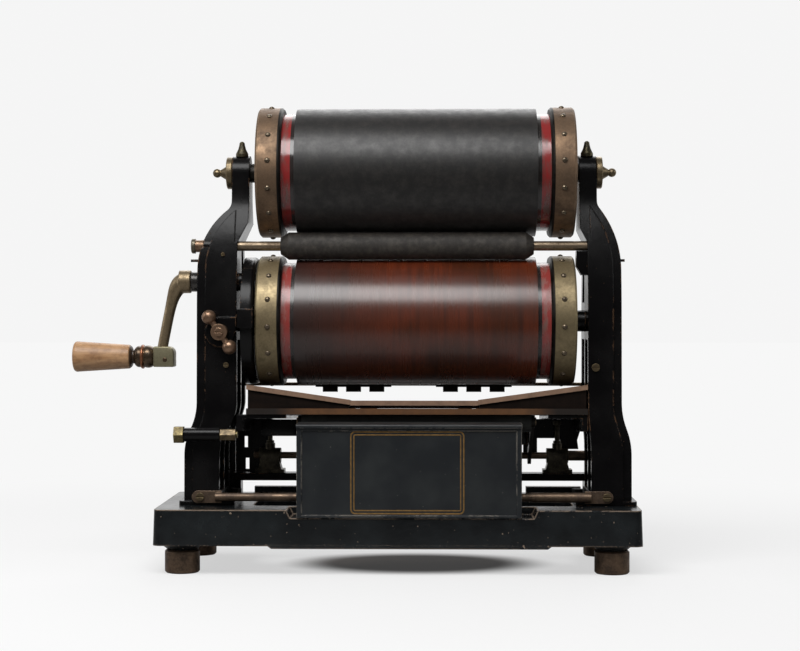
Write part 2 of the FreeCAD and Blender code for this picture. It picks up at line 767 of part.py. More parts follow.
def frame_bores(side, head_inner, head_outer, boss_face):
    """Everything that is bored in a frame."""
    x0, x1 = sorted((head_inner, head_outer))
    bearing_end = boss_face + side * bearing_depth
    bearing = sorted((boss_face - side, bearing_end))
    bores = [
        rod_x(x0 - 1, x1 + 1, 0, upper_axis_z, axle_radius + running),
        rod_x(bearing[0], bearing[1], 0, lower_axis_z, axle_radius + running),
        rod_z((x0 + x1) / 2, 0, upper_axis_z, upper_axis_z + head_radius + 1, oil_cap_radius * 0.4 + seated),
        rod_y(tie_left_screw if side < 0 else tie_right_screw, -frame_foot_depth - 1,
              -frame_foot_depth + frame_wall, tie_rod_z, screw_shank_radius + seated),
    ]
    for y in (-frame_bolt_y, frame_bolt_y):
        bores.append(rod_z(bolt_x(side), y, base_top_z - 1, base_top_z + flange_thickness + 1,
                           frame_bolt_shank + seated))
    roller_span = (-260, left_head_inner_x + 1) if side < 0 else (right_head_inner_x - 1, inking_shaft_right + apart)
    bores.append(rod_x(roller_span[0], roller_span[1], inking_y, inking_z, inking_shaft_radius + running))
    rod_ends = sorted((side * 160, side * 200))
    bores.append(rod_x(rod_ends[0], rod_ends[1], stripper_y, stripper_z, stripper_rod_radius + seated))
    if side < 0:
        bores += [rod_x(-260, -160, crank_y, crank_z, crank_bush_radius + seated),
                  rod_x(-260, left_outer_x + inking_boss_inset, inking_y, inking_z, inking_hub_radius + apart),
                  rod_x(lug_left - 1, lug_right + 1, lug_y, lug_z, lug_bolt_radius + seated),
                  rod_y(lever_x, -frame_foot_depth - lever_boss_height, -frame_foot_depth + 2 * frame_wall + 2,
                        lever_z, lever_stud_radius + running)]
    for x, z, radius in front_screws:
        if x * side > 0:
            seat = frame_front_y(z + radius)
            bores.append(rod_y(x, seat - 1, seat + frame_wall, z, radius * 0.5 + seated))
            bores.append(rod_y(x, seat - screw_head_height, seat, z, radius + seated))
    return bores


def frame_front_y(z):
    """Y of a frame's front face at a height between the foot and the lower end of the neck."""
    step_z = base_top_z + frame_step_height
    if z <= lower_axis_z:
        share = max(0.0, z - step_z) / (lower_axis_z - step_z)
        return -(frame_foot_depth + (frame_waist_depth - frame_foot_depth) * share)
    sweep = sweep_points((frame_neck_depth, frame_neck_z), (frame_waist_depth, lower_axis_z), frame_neck_round)
    centre, radius = sweep[2:4]
    return -(centre[0] + math.sqrt(radius ** 2 - (z - centre[1]) ** 2))


# ---- base and feet ----
def rounded_plate(x0, x1, y0, y1, z0, z1, corner):
    """A plate with round upright corners."""
    plate = block(x0, x1, y0, y1, z0, z1)
    upright = [edge for edge in plate.Edges if abs(edge.tangentAt(edge.FirstParameter).z) > 0.9]
    return plate.makeFillet(corner, upright)


def drafted_plate(x0, x1, y0, y1, z0, z1, corner, draft):
    """A plate with round corners whose sides lean out towards the bottom."""
    wires = []
    for z, grow in ((z0, draft), (z1, 0.0)):
        outline = rounded_plate(x0 - grow, x1 + grow, y0 - grow, y1 + grow, z, z + 1, corner + grow)
        faces = [face for face in outline.Faces if abs(face.CenterOfMass.z - z) < 1e-6]
        wires.append(faces[0].OuterWire)
    return Part.makeLoft(wires, True, True)


def base_casting():
    """The cast bed: a hollow rectangular frame with a sill for the box and bosses over the feet."""
    body = drafted_plate(base_left, base_right, -base_half_depth, base_half_depth,
                         base_bottom_z, base_top_z, base_corner, base_draft)
    sill = prism_y([(sill_left, base_bottom_z + 1), (sill_left + sill_slope, base_bottom_z - sill_drop),
                    (sill_right - sill_slope, base_bottom_z - sill_drop), (sill_right, base_bottom_z + 1)],
                   -base_half_depth - base_draft, -base_half_depth + base_wall)
    lip = block(-rear_lip_half_length, rear_lip_half_length, base_half_depth - rear_lip_depth, base_half_depth,
                base_top_z, base_top_z + rear_lip_height)
    notch = block(rear_lip_notch_x, rear_lip_notch_x + rear_lip_notch, 0, base_half_depth + 1,
                  base_top_z, base_top_z + rear_lip_height + 1)
    body = joined([body, sill, lip.cut(notch)])
    body = body.cut(Part.makeCompound([base_well(), base_recess()] + base_underside()))
    feet_bosses = [foot_boss(x, y) for x in (left_foot_x, right_foot_x) for y in (-foot_y, foot_y)]
    body = joined([body] + feet_bosses)
    holes = [rod_z(bolt_x(side), y, base_top_z - 7.0, base_top_z + 1, frame_bolt_shank + seated)
             for side in (-1, 1) for y in (-frame_bolt_y, frame_bolt_y)]
    return body.cut(Part.makeCompound(holes))


def base_well():
    """The open middle of the bed."""
    return rounded_plate(well_left, well_right, -well_half_depth, well_half_depth, 0, base_top_z + 1, base_corner)


def base_recess():
    """The step in the front rail that the box stands in, with sloping ends."""
    slope = 4.0
    return prism_y([(recess_left - slope, base_top_z + 1), (recess_left - slope, base_top_z),
                    (recess_left, recess_floor_z), (recess_right, recess_floor_z),
                    (recess_right + slope, base_top_z), (recess_right + slope, base_top_z + 1)],
                   -base_half_depth - 5, box_back + 1)


def base_underside():
    """The hollows under the deck, with ribs between them."""
    ceiling = base_top_z - base_wall
    low = base_bottom_z - 10
    front_ceiling = recess_floor_z - base_wall
    edge = base_half_depth - base_wall
    inner_edge = well_half_depth + base_wall
    hollows = [block(recess_left, recess_right, -edge, -inner_edge, low, front_ceiling),
               block(well_left, well_right, inner_edge, edge, low, ceiling)]
    for x0, x1 in ((base_left + base_wall, well_left - base_wall), (well_right + base_wall, base_right - base_wall)):
        bay = (2 * edge - 2 * base_rib) / 3
        for i in range(3):
            y0 = -edge + i * (bay + base_rib)
            hollows.append(block(x0, x1, y0, y0 + bay, low, ceiling))
    return hollows


def foot_boss(x, y):
    """A boss that reaches from the deck down to the foot, tapered at its end."""
    return turned_z([(0, foot_height), (foot_boss_tip, foot_height), (foot_boss_radius, base_bottom_z),
                     (foot_boss_radius, base_top_z - base_wall), (0, base_top_z - base_wall)], x, y)


def feet():
    """Four turned feet."""
    profile = [(0, 0), (foot_radius - foot_chamfer, 0), (foot_radius, foot_chamfer),
               (foot_radius, foot_height - foot_chamfer), (foot_radius - foot_chamfer, foot_height), (0, foot_height)]
    return [turned_z(profile, x, y) for x in (left_foot_x, right_foot_x) for y in (-foot_y, foot_y)]


def frame_bolts():
    """The bolts that hold both frames to the bed."""
    bolts = []
    for side in (-1, 1):
        for y in (-frame_bolt_y, frame_bolt_y):
            seat_z = base_top_z + flange_thickness
            head = hexagon_z(bolt_x(side), y, seat_z, seat_z + frame_bolt_height, frame_bolt_head)
            shank = rod_z(bolt_x(side), y, base_top_z - 6.0, seat_z, frame_bolt_shank)
            bolts.append(head.fuse(shank))
    return bolts


# ---- front box ----
def box_casing():
    """The tin box: open at the top, with a raised rim round its front panel."""
    outer = block(box_left, box_right, box_front + box_rim_height, box_back, box_bottom_z, box_top_z - cover_gap)
    inner = block(box_left + box_wall, box_right - box_wall, box_front + box_rim_height + box_wall,
                  box_back - box_wall, box_bottom_z + box_wall, box_top_z + 5)
    casing = outer.cut(inner)
    rim = block(box_left, box_right, box_front, box_front + box_rim_height, box_bottom_z, box_top_z - cover_gap)
    window = block(box_left + box_rim, box_right - box_rim, box_front - 1, box_front + box_rim_height,
                   box_bottom_z + box_rim / 2, box_top_z - box_rim)
    return joined([casing, rim.cut(window)] + [knuckle(x, -1) for x in knuckle_places(0)])


def knuckle_places(kind):
    """X of the hinge knuckles: kind 0 on the casing, kind 1 on the cover."""
    middle = (box_left + box_right) / 2
    return [middle + (2 * i - 3) * hinge_knuckle + kind * hinge_knuckle for i in range(4 - kind)]


def knuckle(x, way):
    """One hinge knuckle with the leaf that joins it to the casing (way -1) or the cover (way 1)."""
    x0, x1 = x - hinge_knuckle / 2 + 0.2, x + hinge_knuckle / 2 - 0.2
    y = hinge_y()
    barrel = rod_x(x0, x1, y, hinge_z(), hinge_radius)
    if way < 0:
        leaf = block(x0, x1, box_back, y, hinge_z() - hinge_radius - 6, hinge_z() - hinge_radius / 2)
    else:
        leaf = block(x0, x1, box_back - 3, y, box_top_z, box_top_z + cover_thickness)
    bore = rod_x(x0 - 1, x1 + 1, y, hinge_z(), hinge_pin_radius + running)
    return barrel.fuse(leaf).removeSplitter().cut(bore)


def hinge_y():
    """Y of the cover's hinge, just behind the box."""
    return box_back + hinge_radius + 0.3


def hinge_z():
    """Z of the cover's hinge."""
    return box_top_z + cover_thickness - hinge_radius


def box_cover():
    """The hinged cover: a shallow tray whose front edge turns down over the casing."""
    top = block(box_left - cover_gap, box_right + cover_gap, box_front - cover_thickness, box_back,
                box_top_z, box_top_z + cover_thickness)
    front = block(box_left - cover_gap, box_right + cover_gap, box_front - cover_thickness, box_front - cover_gap,
                  box_top_z - cover_lip, box_top_z)
    cover = joined([top, front])
    return joined([cover] + [knuckle(x, 1) for x in knuckle_places(1)])


def box_hinge_pin():
    """The wire that the cover turns on."""
    half = 3.5 * hinge_knuckle - 0.2
    middle = (box_left + box_right) / 2
    return rod_x(middle - half, middle + half, hinge_y(), hinge_z(), hinge_pin_radius)


# ---- rods and bars between the frames ----
def tie_rod():
    """The front tie rod, flattened at both ends where screws hold it to the frames."""
    flat_y = -frame_foot_depth - tie_end_thickness
    ends = []
    for x0, x1, round_x in ((tie_left_end, tie_left_flat, tie_left_end), (tie_right_flat, tie_right_end, tie_right_end)):
        radius = tie_end_height / 2
        plate = block(x0 + (radius if round_x == x0 else 0), x1 - (radius if round_x == x1 else 0),
                      flat_y, -frame_foot_depth, tie_rod_z - radius, tie_rod_z + radius)
        centre = x0 + radius if round_x == x0 else x1 - radius
        ends.append(plate.fuse(rod_y(centre, flat_y, -frame_foot_depth, tie_rod_z, radius)))
    rod = rod_x(tie_left_flat - 6, tie_right_flat, tie_rod_y, tie_rod_z, tie_rod_radius)
    sleeve = rod_x(tie_sleeve_start, tie_right_flat + 6, tie_rod_y, tie_rod_z, tie_sleeve_radius)
    bar = joined([rod, sleeve] + ends)
    holes = [rod_y(x, flat_y - 1, -frame_foot_depth + 1, tie_rod_z, screw_shank_radius + seated)
             for x in (tie_left_screw, tie_right_screw)]
    return bar.cut(Part.makeCompound(holes))


def tie_rod_screws():
    """The two screws of the front tie rod."""
    face = -frame_foot_depth - tie_end_thickness
    return [screw_y(x, tie_rod_z, face, screw_head_radius, tie_end_thickness + 6.0)
            for x in (tie_left_screw, tie_right_screw)]


def cross_bar():
    """The flat bar across the bed that carries both pedestals, on a short leg at each end."""
    y0, y1 = cross_bar_y - cross_bar_depth / 2, cross_bar_y + cross_bar_depth / 2
    bar = block(cross_bar_left, cross_bar_right, y0, y1, cross_bar_top_z - cross_bar_thickness, cross_bar_top_z)
    legs = [block(x, x + cross_bar_leg, y0, y1, base_top_z, cross_bar_top_z)
            for x in (cross_bar_left, cross_bar_right - cross_bar_leg)]
    return joined([bar] + legs)


def pedestal(x):
    """A bearing pedestal: a tapered block with a boss round the rocker shaft and one on top."""
    half, half_top, depth = pedestal_length / 2, pedestal_top_length / 2, pedestal_depth / 2
    y = cross_bar_y
    foot = block(x - half, x + half, y - depth, y + depth, cross_bar_top_z, cross_bar_top_z + 4)
    tower = prism_y([(x - half + 3, cross_bar_top_z + 4), (x + half - 3, cross_bar_top_z + 4),
                     (x + half_top, rocker_z), (x - half_top, rocker_z)],
                    y - pedestal_boss_radius, y + pedestal_boss_radius)
    bearing = rod_x(x - half_top - 3, x + half_top + 3, y, rocker_z, pedestal_boss_radius)
    collar = rod_z(x, y, rocker_z, collar_top_z(), 2 * screw_spindle_radius)
    body = joined([foot, tower, bearing, collar])
    return body.cut(Part.makeCompound([
        rod_x(x - half - 1, x + half + 1, y, rocker_z, rocker_radius + running),
        rod_z(x, y, rocker_z, collar_top_z() + 1, screw_spindle_radius + running)]))


def collar_top_z():
    """Top of the boss that the adjusting screw stands in."""
    return rocker_z + pedestal_boss_radius + screw_boss_rise


def adjusting_screw(x):
    """An upright screw with a round knob, seated over the rocker shaft."""
    low = rocker_z + rocker_radius + screw_tip_gap
    neck, collar = screw_spindle_radius, screw_collar_radius
    knob_low = screw_top_z - screw_knob_height
    seat = collar_top_z() + apart
    seat_top = seat + screw_collar_height
    return turned_z([(0, low), (neck, low), (neck, seat), (collar, seat), (collar, seat_top), (neck, seat_top),
                     (neck, knob_low), (screw_knob_radius, knob_low + 1), (screw_knob_radius, screw_top_z - 1.5),
                     (screw_knob_radius - 1.5, screw_top_z), (0, screw_top_z)], x, cross_bar_y)


# ---- impression roller ----
def rocker_shaft():
    """The shaft that the impression roller's arms are fixed to, and the sleeve on its right end."""
    sleeve_start = right_pedestal_x + pedestal_top_length / 2 + 3 + apart
    return [rod_x(rocker_left_end, rocker_right_end, rocker_y, rocker_z, rocker_radius),
            tube_x(sleeve_start, rocker_right_end, rocker_y, rocker_z, rocker_sleeve_radius, rocker_radius + seated)]


def rocker_arm(side):
    """A flat arm from the rocker shaft to the impression roller's journal."""
    x0 = side * arm_gap if side > 0 else side * arm_gap - arm_thickness
    x1 = x0 + arm_thickness
    run = V(0, impression_rest_y - rocker_y, impression_rest_z - rocker_z)
    across = V(0, -run.z, run.y)
    across.normalize()
    tip, root = V(0, impression_rest_y, impression_rest_z), V(0, rocker_y, rocker_z)
    half = arm_waist / 2
    corners = [tip + across * half, tip - across * half, root - across * half, root + across * half]
    blade = prism_x([(c.y, c.z) for c in corners], x0, x1)
    arm = joined([blade, rod_x(x0, x1, tip.y, tip.z, arm_tip_radius), rod_x(x0, x1, root.y, root.z, arm_root_radius)])
    return arm.cut(Part.makeCompound([
        rod_x(x0 - 1, x1 + 1, tip.y, tip.z, impression_core_radius + running),
        rod_x(x0 - 1, x1 + 1, root.y, root.z, rocker_radius + seated)]))


def impression_roller():
    """The rubber sleeve that presses the paper to the lower drum."""
    return tube_x(-impression_half_length, impression_half_length, impression_rest_y, impression_rest_z,
                  impression_radius, impression_core_radius + seated)


def impression_core():
    """The steel core of the impression roller, with a journal at each end."""
    end = arm_gap + arm_thickness + 1.5
    return rod_x(-end, end, impression_rest_y, impression_rest_z, impression_core_radius)


# ---- inking roller ----
def inking_roller():
    """The covered roller between the drums, tapered at both ends."""
    profile = [(inking_left, inking_shaft_radius + seated), (inking_left, inking_end_radius),
               (inking_left + inking_taper, inking_radius), (inking_right - inking_taper, inking_radius),
               (inking_right, inking_end_radius), (inking_right, inking_shaft_radius + seated)]
    return turned_x(profile, inking_y, inking_z)


def inking_hub_face():
    """X of the inner face of the inking roller's knob, clear of the left frame's boss."""
    return left_outer_x + inking_boss_inset - apart


def inking_shaft():
    """The inking roller's steel shaft."""
    return rod_x(inking_hub_face() - inking_hub_length, inking_shaft_right, inking_y, inking_z, inking_shaft_radius)


def inking_knob():
    """The turned knob on the shaft's left end: a hub that reaches into the frame's edge, and a broader disc."""
    face = inking_hub_face()
    shoulder = face - inking_hub_length
    end = shoulder - inking_knob_width
    bore = inking_shaft_radius + seated
    return turned_x([(face, bore), (face, inking_hub_radius), (shoulder, inking_hub_radius),
                     (shoulder, inking_knob_radius), (end + 1, inking_knob_radius), (end, inking_knob_radius - 1),
                     (end, 0), (shoulder, 0), (shoulder, bore)], inking_y, inking_z)


# ---- crank ----
def crank_bush():
    """The brass bush of the crank shaft in the left frame."""
    return tube_x(bush_end_x, left_boss_face(), crank_y, crank_z, crank_bush_radius, crank_shaft_radius + running)


def crank_shaft():
    """The crank shaft, from the arm's hub to the pinion."""
    return rod_x(hub_outer_x, -gear_start, crank_y, crank_z, crank_shaft_radius)


def crank_pinion():
    """The pinion that drives the drum gear, turned half a tooth to mesh with it."""
    phase = mesh_angle() + 180 + 180.0 / pinion_teeth
    return gear(-gear_start - gear_width, -gear_start, crank_y, crank_z, pinion_teeth,
                crank_shaft_radius + seated, phase)


def crank_arm():
    """The swan-necked arm: a round hub, a round rod that bends outward from it and a square end block."""
    hub = rod_x(hub_outer_x, hub_inner_x, crank_y, crank_z, crank_hub_radius)
    neck = Part.makeLoft([leaning_circle(hub_inner_x - out, crank_z - down, lean, radius)
                          for out, down, lean, radius in crank_sections], True)
    block_top = grip_z + crank_block / 2
    half = crank_block_depth / 2
    end_block = block(block_outer_x, block_inner_x, crank_y - half, crank_y + half, grip_z - crank_block / 2, block_top)
    top_edge = [edge for edge in end_block.Edges
                if abs(edge.CenterOfMass.x - block_inner_x) < 0.1 and abs(edge.CenterOfMass.z - block_top) < 0.1]
    end_block = end_block.makeFillet(crank_block_round, top_edge)
    arm = joined([hub, neck, end_block])
    return arm.cut(Part.makeCompound([
        rod_x(hub_outer_x - 1, hub_inner_x + 1, crank_y, crank_z, crank_shaft_radius + seated),
        rod_x(block_outer_x - 1, block_inner_x - grip_spindle_inset, crank_y, grip_z, grip_spindle_radius + seated)]))


def leaning_circle(x, z, lean, radius):
    """A circle in the crank's plane, square to a line that leans from upright towards the machine, as a wire."""
    circle = Part.makeCircle(radius)
    circle.rotate(V(0, 0, 0), Y_AXIS, lean)
    circle.translate(V(x, crank_y, z))
    return Part.Wire(circle)


def grip_spindle():
    """The pin that the grip turns on."""
    return rod_x(ferrule_end() - grip_length + grip_spindle_margin, block_inner_x - grip_spindle_inset,
                 crank_y, grip_z, grip_spindle_radius)


def ferrule_end():
    """X of the ferrule's outer end."""
    return block_outer_x - apart - ferrule_length


def grip_ferrule():
    """The turned ferrule between the block and the grip: two rounded bulges with a ring between them."""
    start, end = block_outer_x - apart, ferrule_end()
    ring_0, ring_1 = start - ferrule_ring_start, start - ferrule_ring_end
    bulge, groove, neck = ferrule_bulge_radius, ferrule_groove_radius, ferrule_neck_radius
    bore = grip_spindle_radius + running
    return turned_path_x((start, bore), [
        (start, groove - 1.6), ((start + ring_0) / 2, bulge, ring_0, groove),
        ((ring_0 + ring_1) / 2, ferrule_radius, ring_1, groove), (ring_1 - 4.0, groove - 0.2, end + 0.6, neck),
        (end, neck), (end, bore)], crank_y, grip_z)


def wooden_grip():
    """The turned wooden grip, thicker towards its slightly domed outer end."""
    inner = ferrule_end()
    shoulder = inner - grip_collar
    outer = shoulder - grip_length
    neck, r0, r1 = ferrule_neck_radius + 0.2, grip_neck_radius, grip_end_radius
    bore = grip_spindle_radius + running
    spindle_end = inner - grip_length + grip_spindle_margin - apart
    return turned_path_x((inner, bore), [
        (inner, neck), (inner - 1.2, neck), (inner - 2.0, r0 - 2.2, shoulder, r0 - 0.8), (shoulder - 1.0, r0),
        (outer + 4.0, r1), (outer + 1.9, r1 - 1.1, outer + 1.1, r1 - 3.4), (outer + 0.3, r1 / 2),
        (outer, r1 / 4), (outer, 0), (spindle_end, 0), (spindle_end, bore)], crank_y, grip_z)


# ---- paper table ----
def tilted(shape):
    """Tilt a piece of the level table about the table's front edge, so that it falls to the rear."""
    shape.rotate(V(0, table_front_y, centre_top_z), X_AXIS, -table_slope)
    return shape


def table_rear_start():
    """Distance from the table's front edge to the boards behind the slot."""
    return table_slot_front + table_slot


def level_board(x0, x1, top, thickness, start, depth):
    """A plain board that starts at a distance behind the table's front edge."""
    board = block(x0, x1, table_front_y + start, table_front_y + start + depth, top - thickness, top)
    return tilted(board)


def lower_board(start, depth):
    """One of the two flat boards that the table's upper boards lie over."""
    return level_board(table_left, table_right, lower_board_top_z, lower_board_thickness, start, depth)


def centre_board(start, depth):
    """One of the two middle boards of the table."""
    return level_board(centre_left, centre_right, centre_top_z, centre_thickness, start, depth)


def wing_board(side):
    """A sloping side board with a gap for the impression roller."""
    inner_x, outer_x = wing_edges(side)
    low = centre_top_z + wing_joint_rise
    outline = [(inner_x, low), (outer_x, wing_top_z), (outer_x, wing_top_z - wing_thickness),
               (inner_x, low - wing_thickness)]
    board = prism_y(outline, table_front_y, table_front_y + table_depth)
    gap_x = sorted((inner_x - side, side * table_slot_half_length))
    gap = block(gap_x[0], gap_x[1], table_front_y + table_slot_front,
                table_front_y + table_rear_start(), centre_top_z - 30, wing_top_z + 30)
    return tilted(board.cut(gap))


def wing_edges(side):
    """X of a wing board's inner and outer edges."""
    return (centre_left - apart, table_left) if side < 0 else (centre_right + apart, table_right)


def wing_underside(side, x):
    """Height of a wing board's underside, before the table is tilted."""
    inner_x, outer_x = wing_edges(side)
    low, high = centre_top_z + wing_joint_rise - wing_thickness, wing_top_z - wing_thickness
    return low + (high - low) * (x - inner_x) / (outer_x - inner_x)


def table_packings():
    """What holds the upper boards clear of the lower ones: strips under the middle and wedges under the wings."""
    packings = []
    for start in (packing_margin, table_rear_start() + packing_margin, table_depth - packing_margin - packing_depth):
        y0 = table_front_y + start
        for side in (-1, 1):
            x = side * (centre_right - packing_width)
            packings.append(block(x - packing_width / 2, x + packing_width / 2, y0, y0 + packing_depth,
                                  lower_board_top_z, centre_top_z - centre_thickness))
            packings.append(wing_wedge(side, y0))
    return [tilted(packing) for packing in packings]


def wing_wedge(side, y0):
    """A wedge that fills the space between the lower board and a wing."""
    inner_x, outer_x = wing_edges(side)
    x0, x1 = inner_x + side * packing_end, outer_x - side * packing_end
    return prism_y([(x0, lower_board_top_z), (x1, lower_board_top_z), (x1, wing_underside(side, x1)),
                    (x0, wing_underside(side, x0))], y0, y0 + packing_depth)


def board_bearer(side):
    """The cast bearer at each end of the table: a flange under the boards with a web, and a plate hung below it."""
    x_frame, x_end = (left_inner_x, bearer_left_end) if side < 0 else (right_inner_x, bearer_right_end)
    x0, x1 = sorted((x_frame, x_end))
    front, rear = table_front_y + bearer_front, table_front_y + table_depth - bearer_rear
    top = lower_board_top_z - lower_board_thickness
    flange = block(x0, x1, front, rear, top - bearer_flange, top)
    web_x = sorted((x_frame, x_frame - side * bearer_web))
    web = prism_x([(front, top), (front, top - bearer_height), (table_front_y + bearer_full_depth, top - bearer_height),
                   (rear, top - bearer_flange), (rear, top)], web_x[0], web_x[1])
    return [tilted(joined([flange, web])), left_plate() if side < 0 else right_plate()]


def plate_top():
    """Height of the plates below the bearers, just under the tilted flange."""
    slope = math.radians(table_slope)
    flange_drop = centre_top_z - (lower_board_top_z - lower_board_thickness - bearer_flange)
    depth = plate_y + plate_thickness - table_front_y
    return centre_top_z - flange_drop / math.cos(slope) - depth * math.tan(slope) - seated


def left_plate():
    """The slotted plate behind the left end of the cross bar."""
    rear = plate_y + plate_thickness
    plate = block(left_plate_outer, left_plate_inner, plate_y, rear, cross_bar_top_z - cross_bar_thickness, plate_top())
    return plate.cut(Part.makeCompound([block(x0, x1, plate_y - 1, rear + 1, z0, z1)
                                        for x0, x1, z0, z1 in left_plate_slots]))


def right_plate():
    """The cut-out plate behind the right pedestal."""
    (x0, _), (x1, _) = right_plate_edge[0], right_plate_edge[-1]
    outline = [(x1, plate_top()), (x0, plate_top())] + list(right_plate_edge)
    return prism_y(outline, plate_y, plate_y + plate_thickness)


# ---- strippers ----
def stripper_rod():
    """The thin rod behind the lower drum that the combs hang on."""
    return rod_x(left_inner_x - 6, right_inner_x + 6, stripper_y, stripper_z, stripper_rod_radius)


def stripper_comb(start):
    """A comb with three square fingers that lifts the paper off the drum."""
    y0, y1 = stripper_y - comb_thickness / 2, stripper_y + comb_thickness / 2
    bar_top = stripper_z + stripper_rod_radius - 0.6
    bar = block(start, start + comb_length, y0, y1, bar_top - comb_bar, bar_top)
    fingers = []
    for i in range(3):
        x = start + (comb_length - 2 * comb_pitch - comb_finger) / 2 + i * comb_pitch
        fingers.append(block(x, x + comb_finger, y0, y1, bar_top - comb_bar - comb_finger_drop, bar_top))
    comb = joined([bar] + fingers)
    return comb.cut(rod_x(start - 1, start + comb_length + 1, stripper_y, stripper_z, stripper_rod_radius + seated))


# ---- fittings on the frames ----
def axle_cap(side):
    """A bearing cap on a frame head: a broad disc, a cone and a ball, turned in one piece."""
    face = left_head_outer_x if side < 0 else right_head_outer_x
    disc, cone = cap_disc_thickness, cap_disc_thickness + cap_cone_length
    edge = cap_edge_chamfer
    neck = math.sqrt(cap_ball_radius ** 2 - cap_ball_set ** 2)
    profile = [(0, 0), (0, cap_disc_radius - edge), (edge, cap_disc_radius), (disc - edge, cap_disc_radius),
               (disc, cap_disc_radius - edge), (disc, cap_cone_radius), (cone, neck)]
    centre = face + side * (cone + cap_ball_set)
    return ball_tipped([(face + side * x, r) for x, r in profile], centre, side * cap_ball_radius, upper_axis_z)


def ball_tipped(profile, centre, reach, z):
    """Turn a profile of (x, radius) points that ends in a ball; reach is the ball's radius, signed along X."""
    points = [V(x, 0, z + radius) for x, radius in profile]
    tip = V(centre + reach, 0, z)
    edges = [Part.makeLine(a, b) for a, b in zip(points, points[1:])]
    edges += [Part.Arc(points[-1], V(centre, 0, z + abs(reach)), tip).toShape(), Part.makeLine(tip, points[0])]
    return Part.Face(Part.Wire(edges)).revolve(V(0, 0, z), X_AXIS, 360)


def oil_cap(side):
    """The pointed oil cap on a frame head."""
    x = (left_head_inner_x + left_head_outer_x) / 2 if side < 0 else (right_head_inner_x + right_head_outer_x) / 2
    crown = upper_axis_z + head_radius
    r = oil_cap_radius
    seat = crown - 1.4
    body = turned_z([(0, seat - 5), (r * 0.4, seat - 5), (r * 0.4, seat), (r, seat), (r, crown + 2.4),
                     (r * 0.64, crown + 7), (r * 0.48, crown + 10.8), (r * 0.4, crown + oil_cap_height - 1.2),
                     (r * 0.2, crown + oil_cap_height), (0, crown + oil_cap_height)], x, 0)
    head = rod_x(x - head_width, x + head_width, 0, upper_axis_z, head_radius)
    return body.cut(head.cut(rod_z(x, 0, upper_axis_z, crown + 5, r * 0.4 + seated)))


def ball_lever():
    """The two-ball lever on the left frame, with the stud it turns on."""
    face = frame_front_y(lever_z) - lever_boss_height - apart
    front = face - lever_hub_length
    head = front - lever_screw_height
    hub = rod_y(lever_x, front, face, lever_z, lever_hub_radius)
    screw = rod_y(lever_x, head, front, lever_z, lever_screw_radius)
    slot = block(lever_x - lever_screw_radius, lever_x + lever_screw_radius, head - 1, head + lever_slot_depth,
                 lever_z - lever_slot_half, lever_z + lever_slot_half)
    stud = rod_y(lever_x, face, face + frame_wall + 6, lever_z, lever_stud_radius)
    arm = ball_ended_rod(lever_reach, lever_arm_radius, lever_ball_radius)
    arm.rotate(V(0, 0, 0), Y_AXIS, 90 - lever_angle)
    arm.translate(V(lever_x, front + lever_arm_setback, lever_z))
    return joined([hub, screw, stud, arm]).cut(slot)


def ball_ended_rod(reach, rod, ball):
    """A rod along Z with a ball at each end, turned in one piece about its own axis."""
    neck = reach - math.sqrt(ball ** 2 - rod ** 2)
    end = reach + ball
    edges = [Part.makeLine(V(rod, 0, -neck), V(rod, 0, neck)),
             Part.Arc(V(rod, 0, neck), V(ball, 0, reach), V(0, 0, end)).toShape(),
             Part.makeLine(V(0, 0, end), V(0, 0, -end)),
             Part.Arc(V(0, 0, -end), V(ball, 0, -reach), V(rod, 0, -neck)).toShape()]
    return Part.Face(Part.Wire(edges)).revolve(V(0, 0, 0), Z_AXIS, 360)


def lug_bolt():
    """The bolt through the lug low on the left frame, with its six-sided head."""
    shank = rod_x(lug_left, lug_right + lug_nut_length + 2, lug_y, lug_z, lug_bolt_radius)
    head = hexagon_x(lug_left - lug_head_length, lug_left, lug_y, lug_z, lug_head_width)
    return joined([shank, head])


def lug_nut():
    """The long nut on that bolt."""
    nut = hexagon_x(lug_right, lug_right + lug_nut_length, lug_y, lug_z, lug_nut_width)
    return nut.cut(rod_x(lug_right - 1, lug_right + lug_nut_length + 1, lug_y, lug_z, lug_bolt_radius + seated))


def small_screws():
    """The small screws on the frames' front faces."""
    return [screw_y(x, z, frame_front_y(z + radius), radius, frame_wall - 1) for x, z, radius in front_screws]


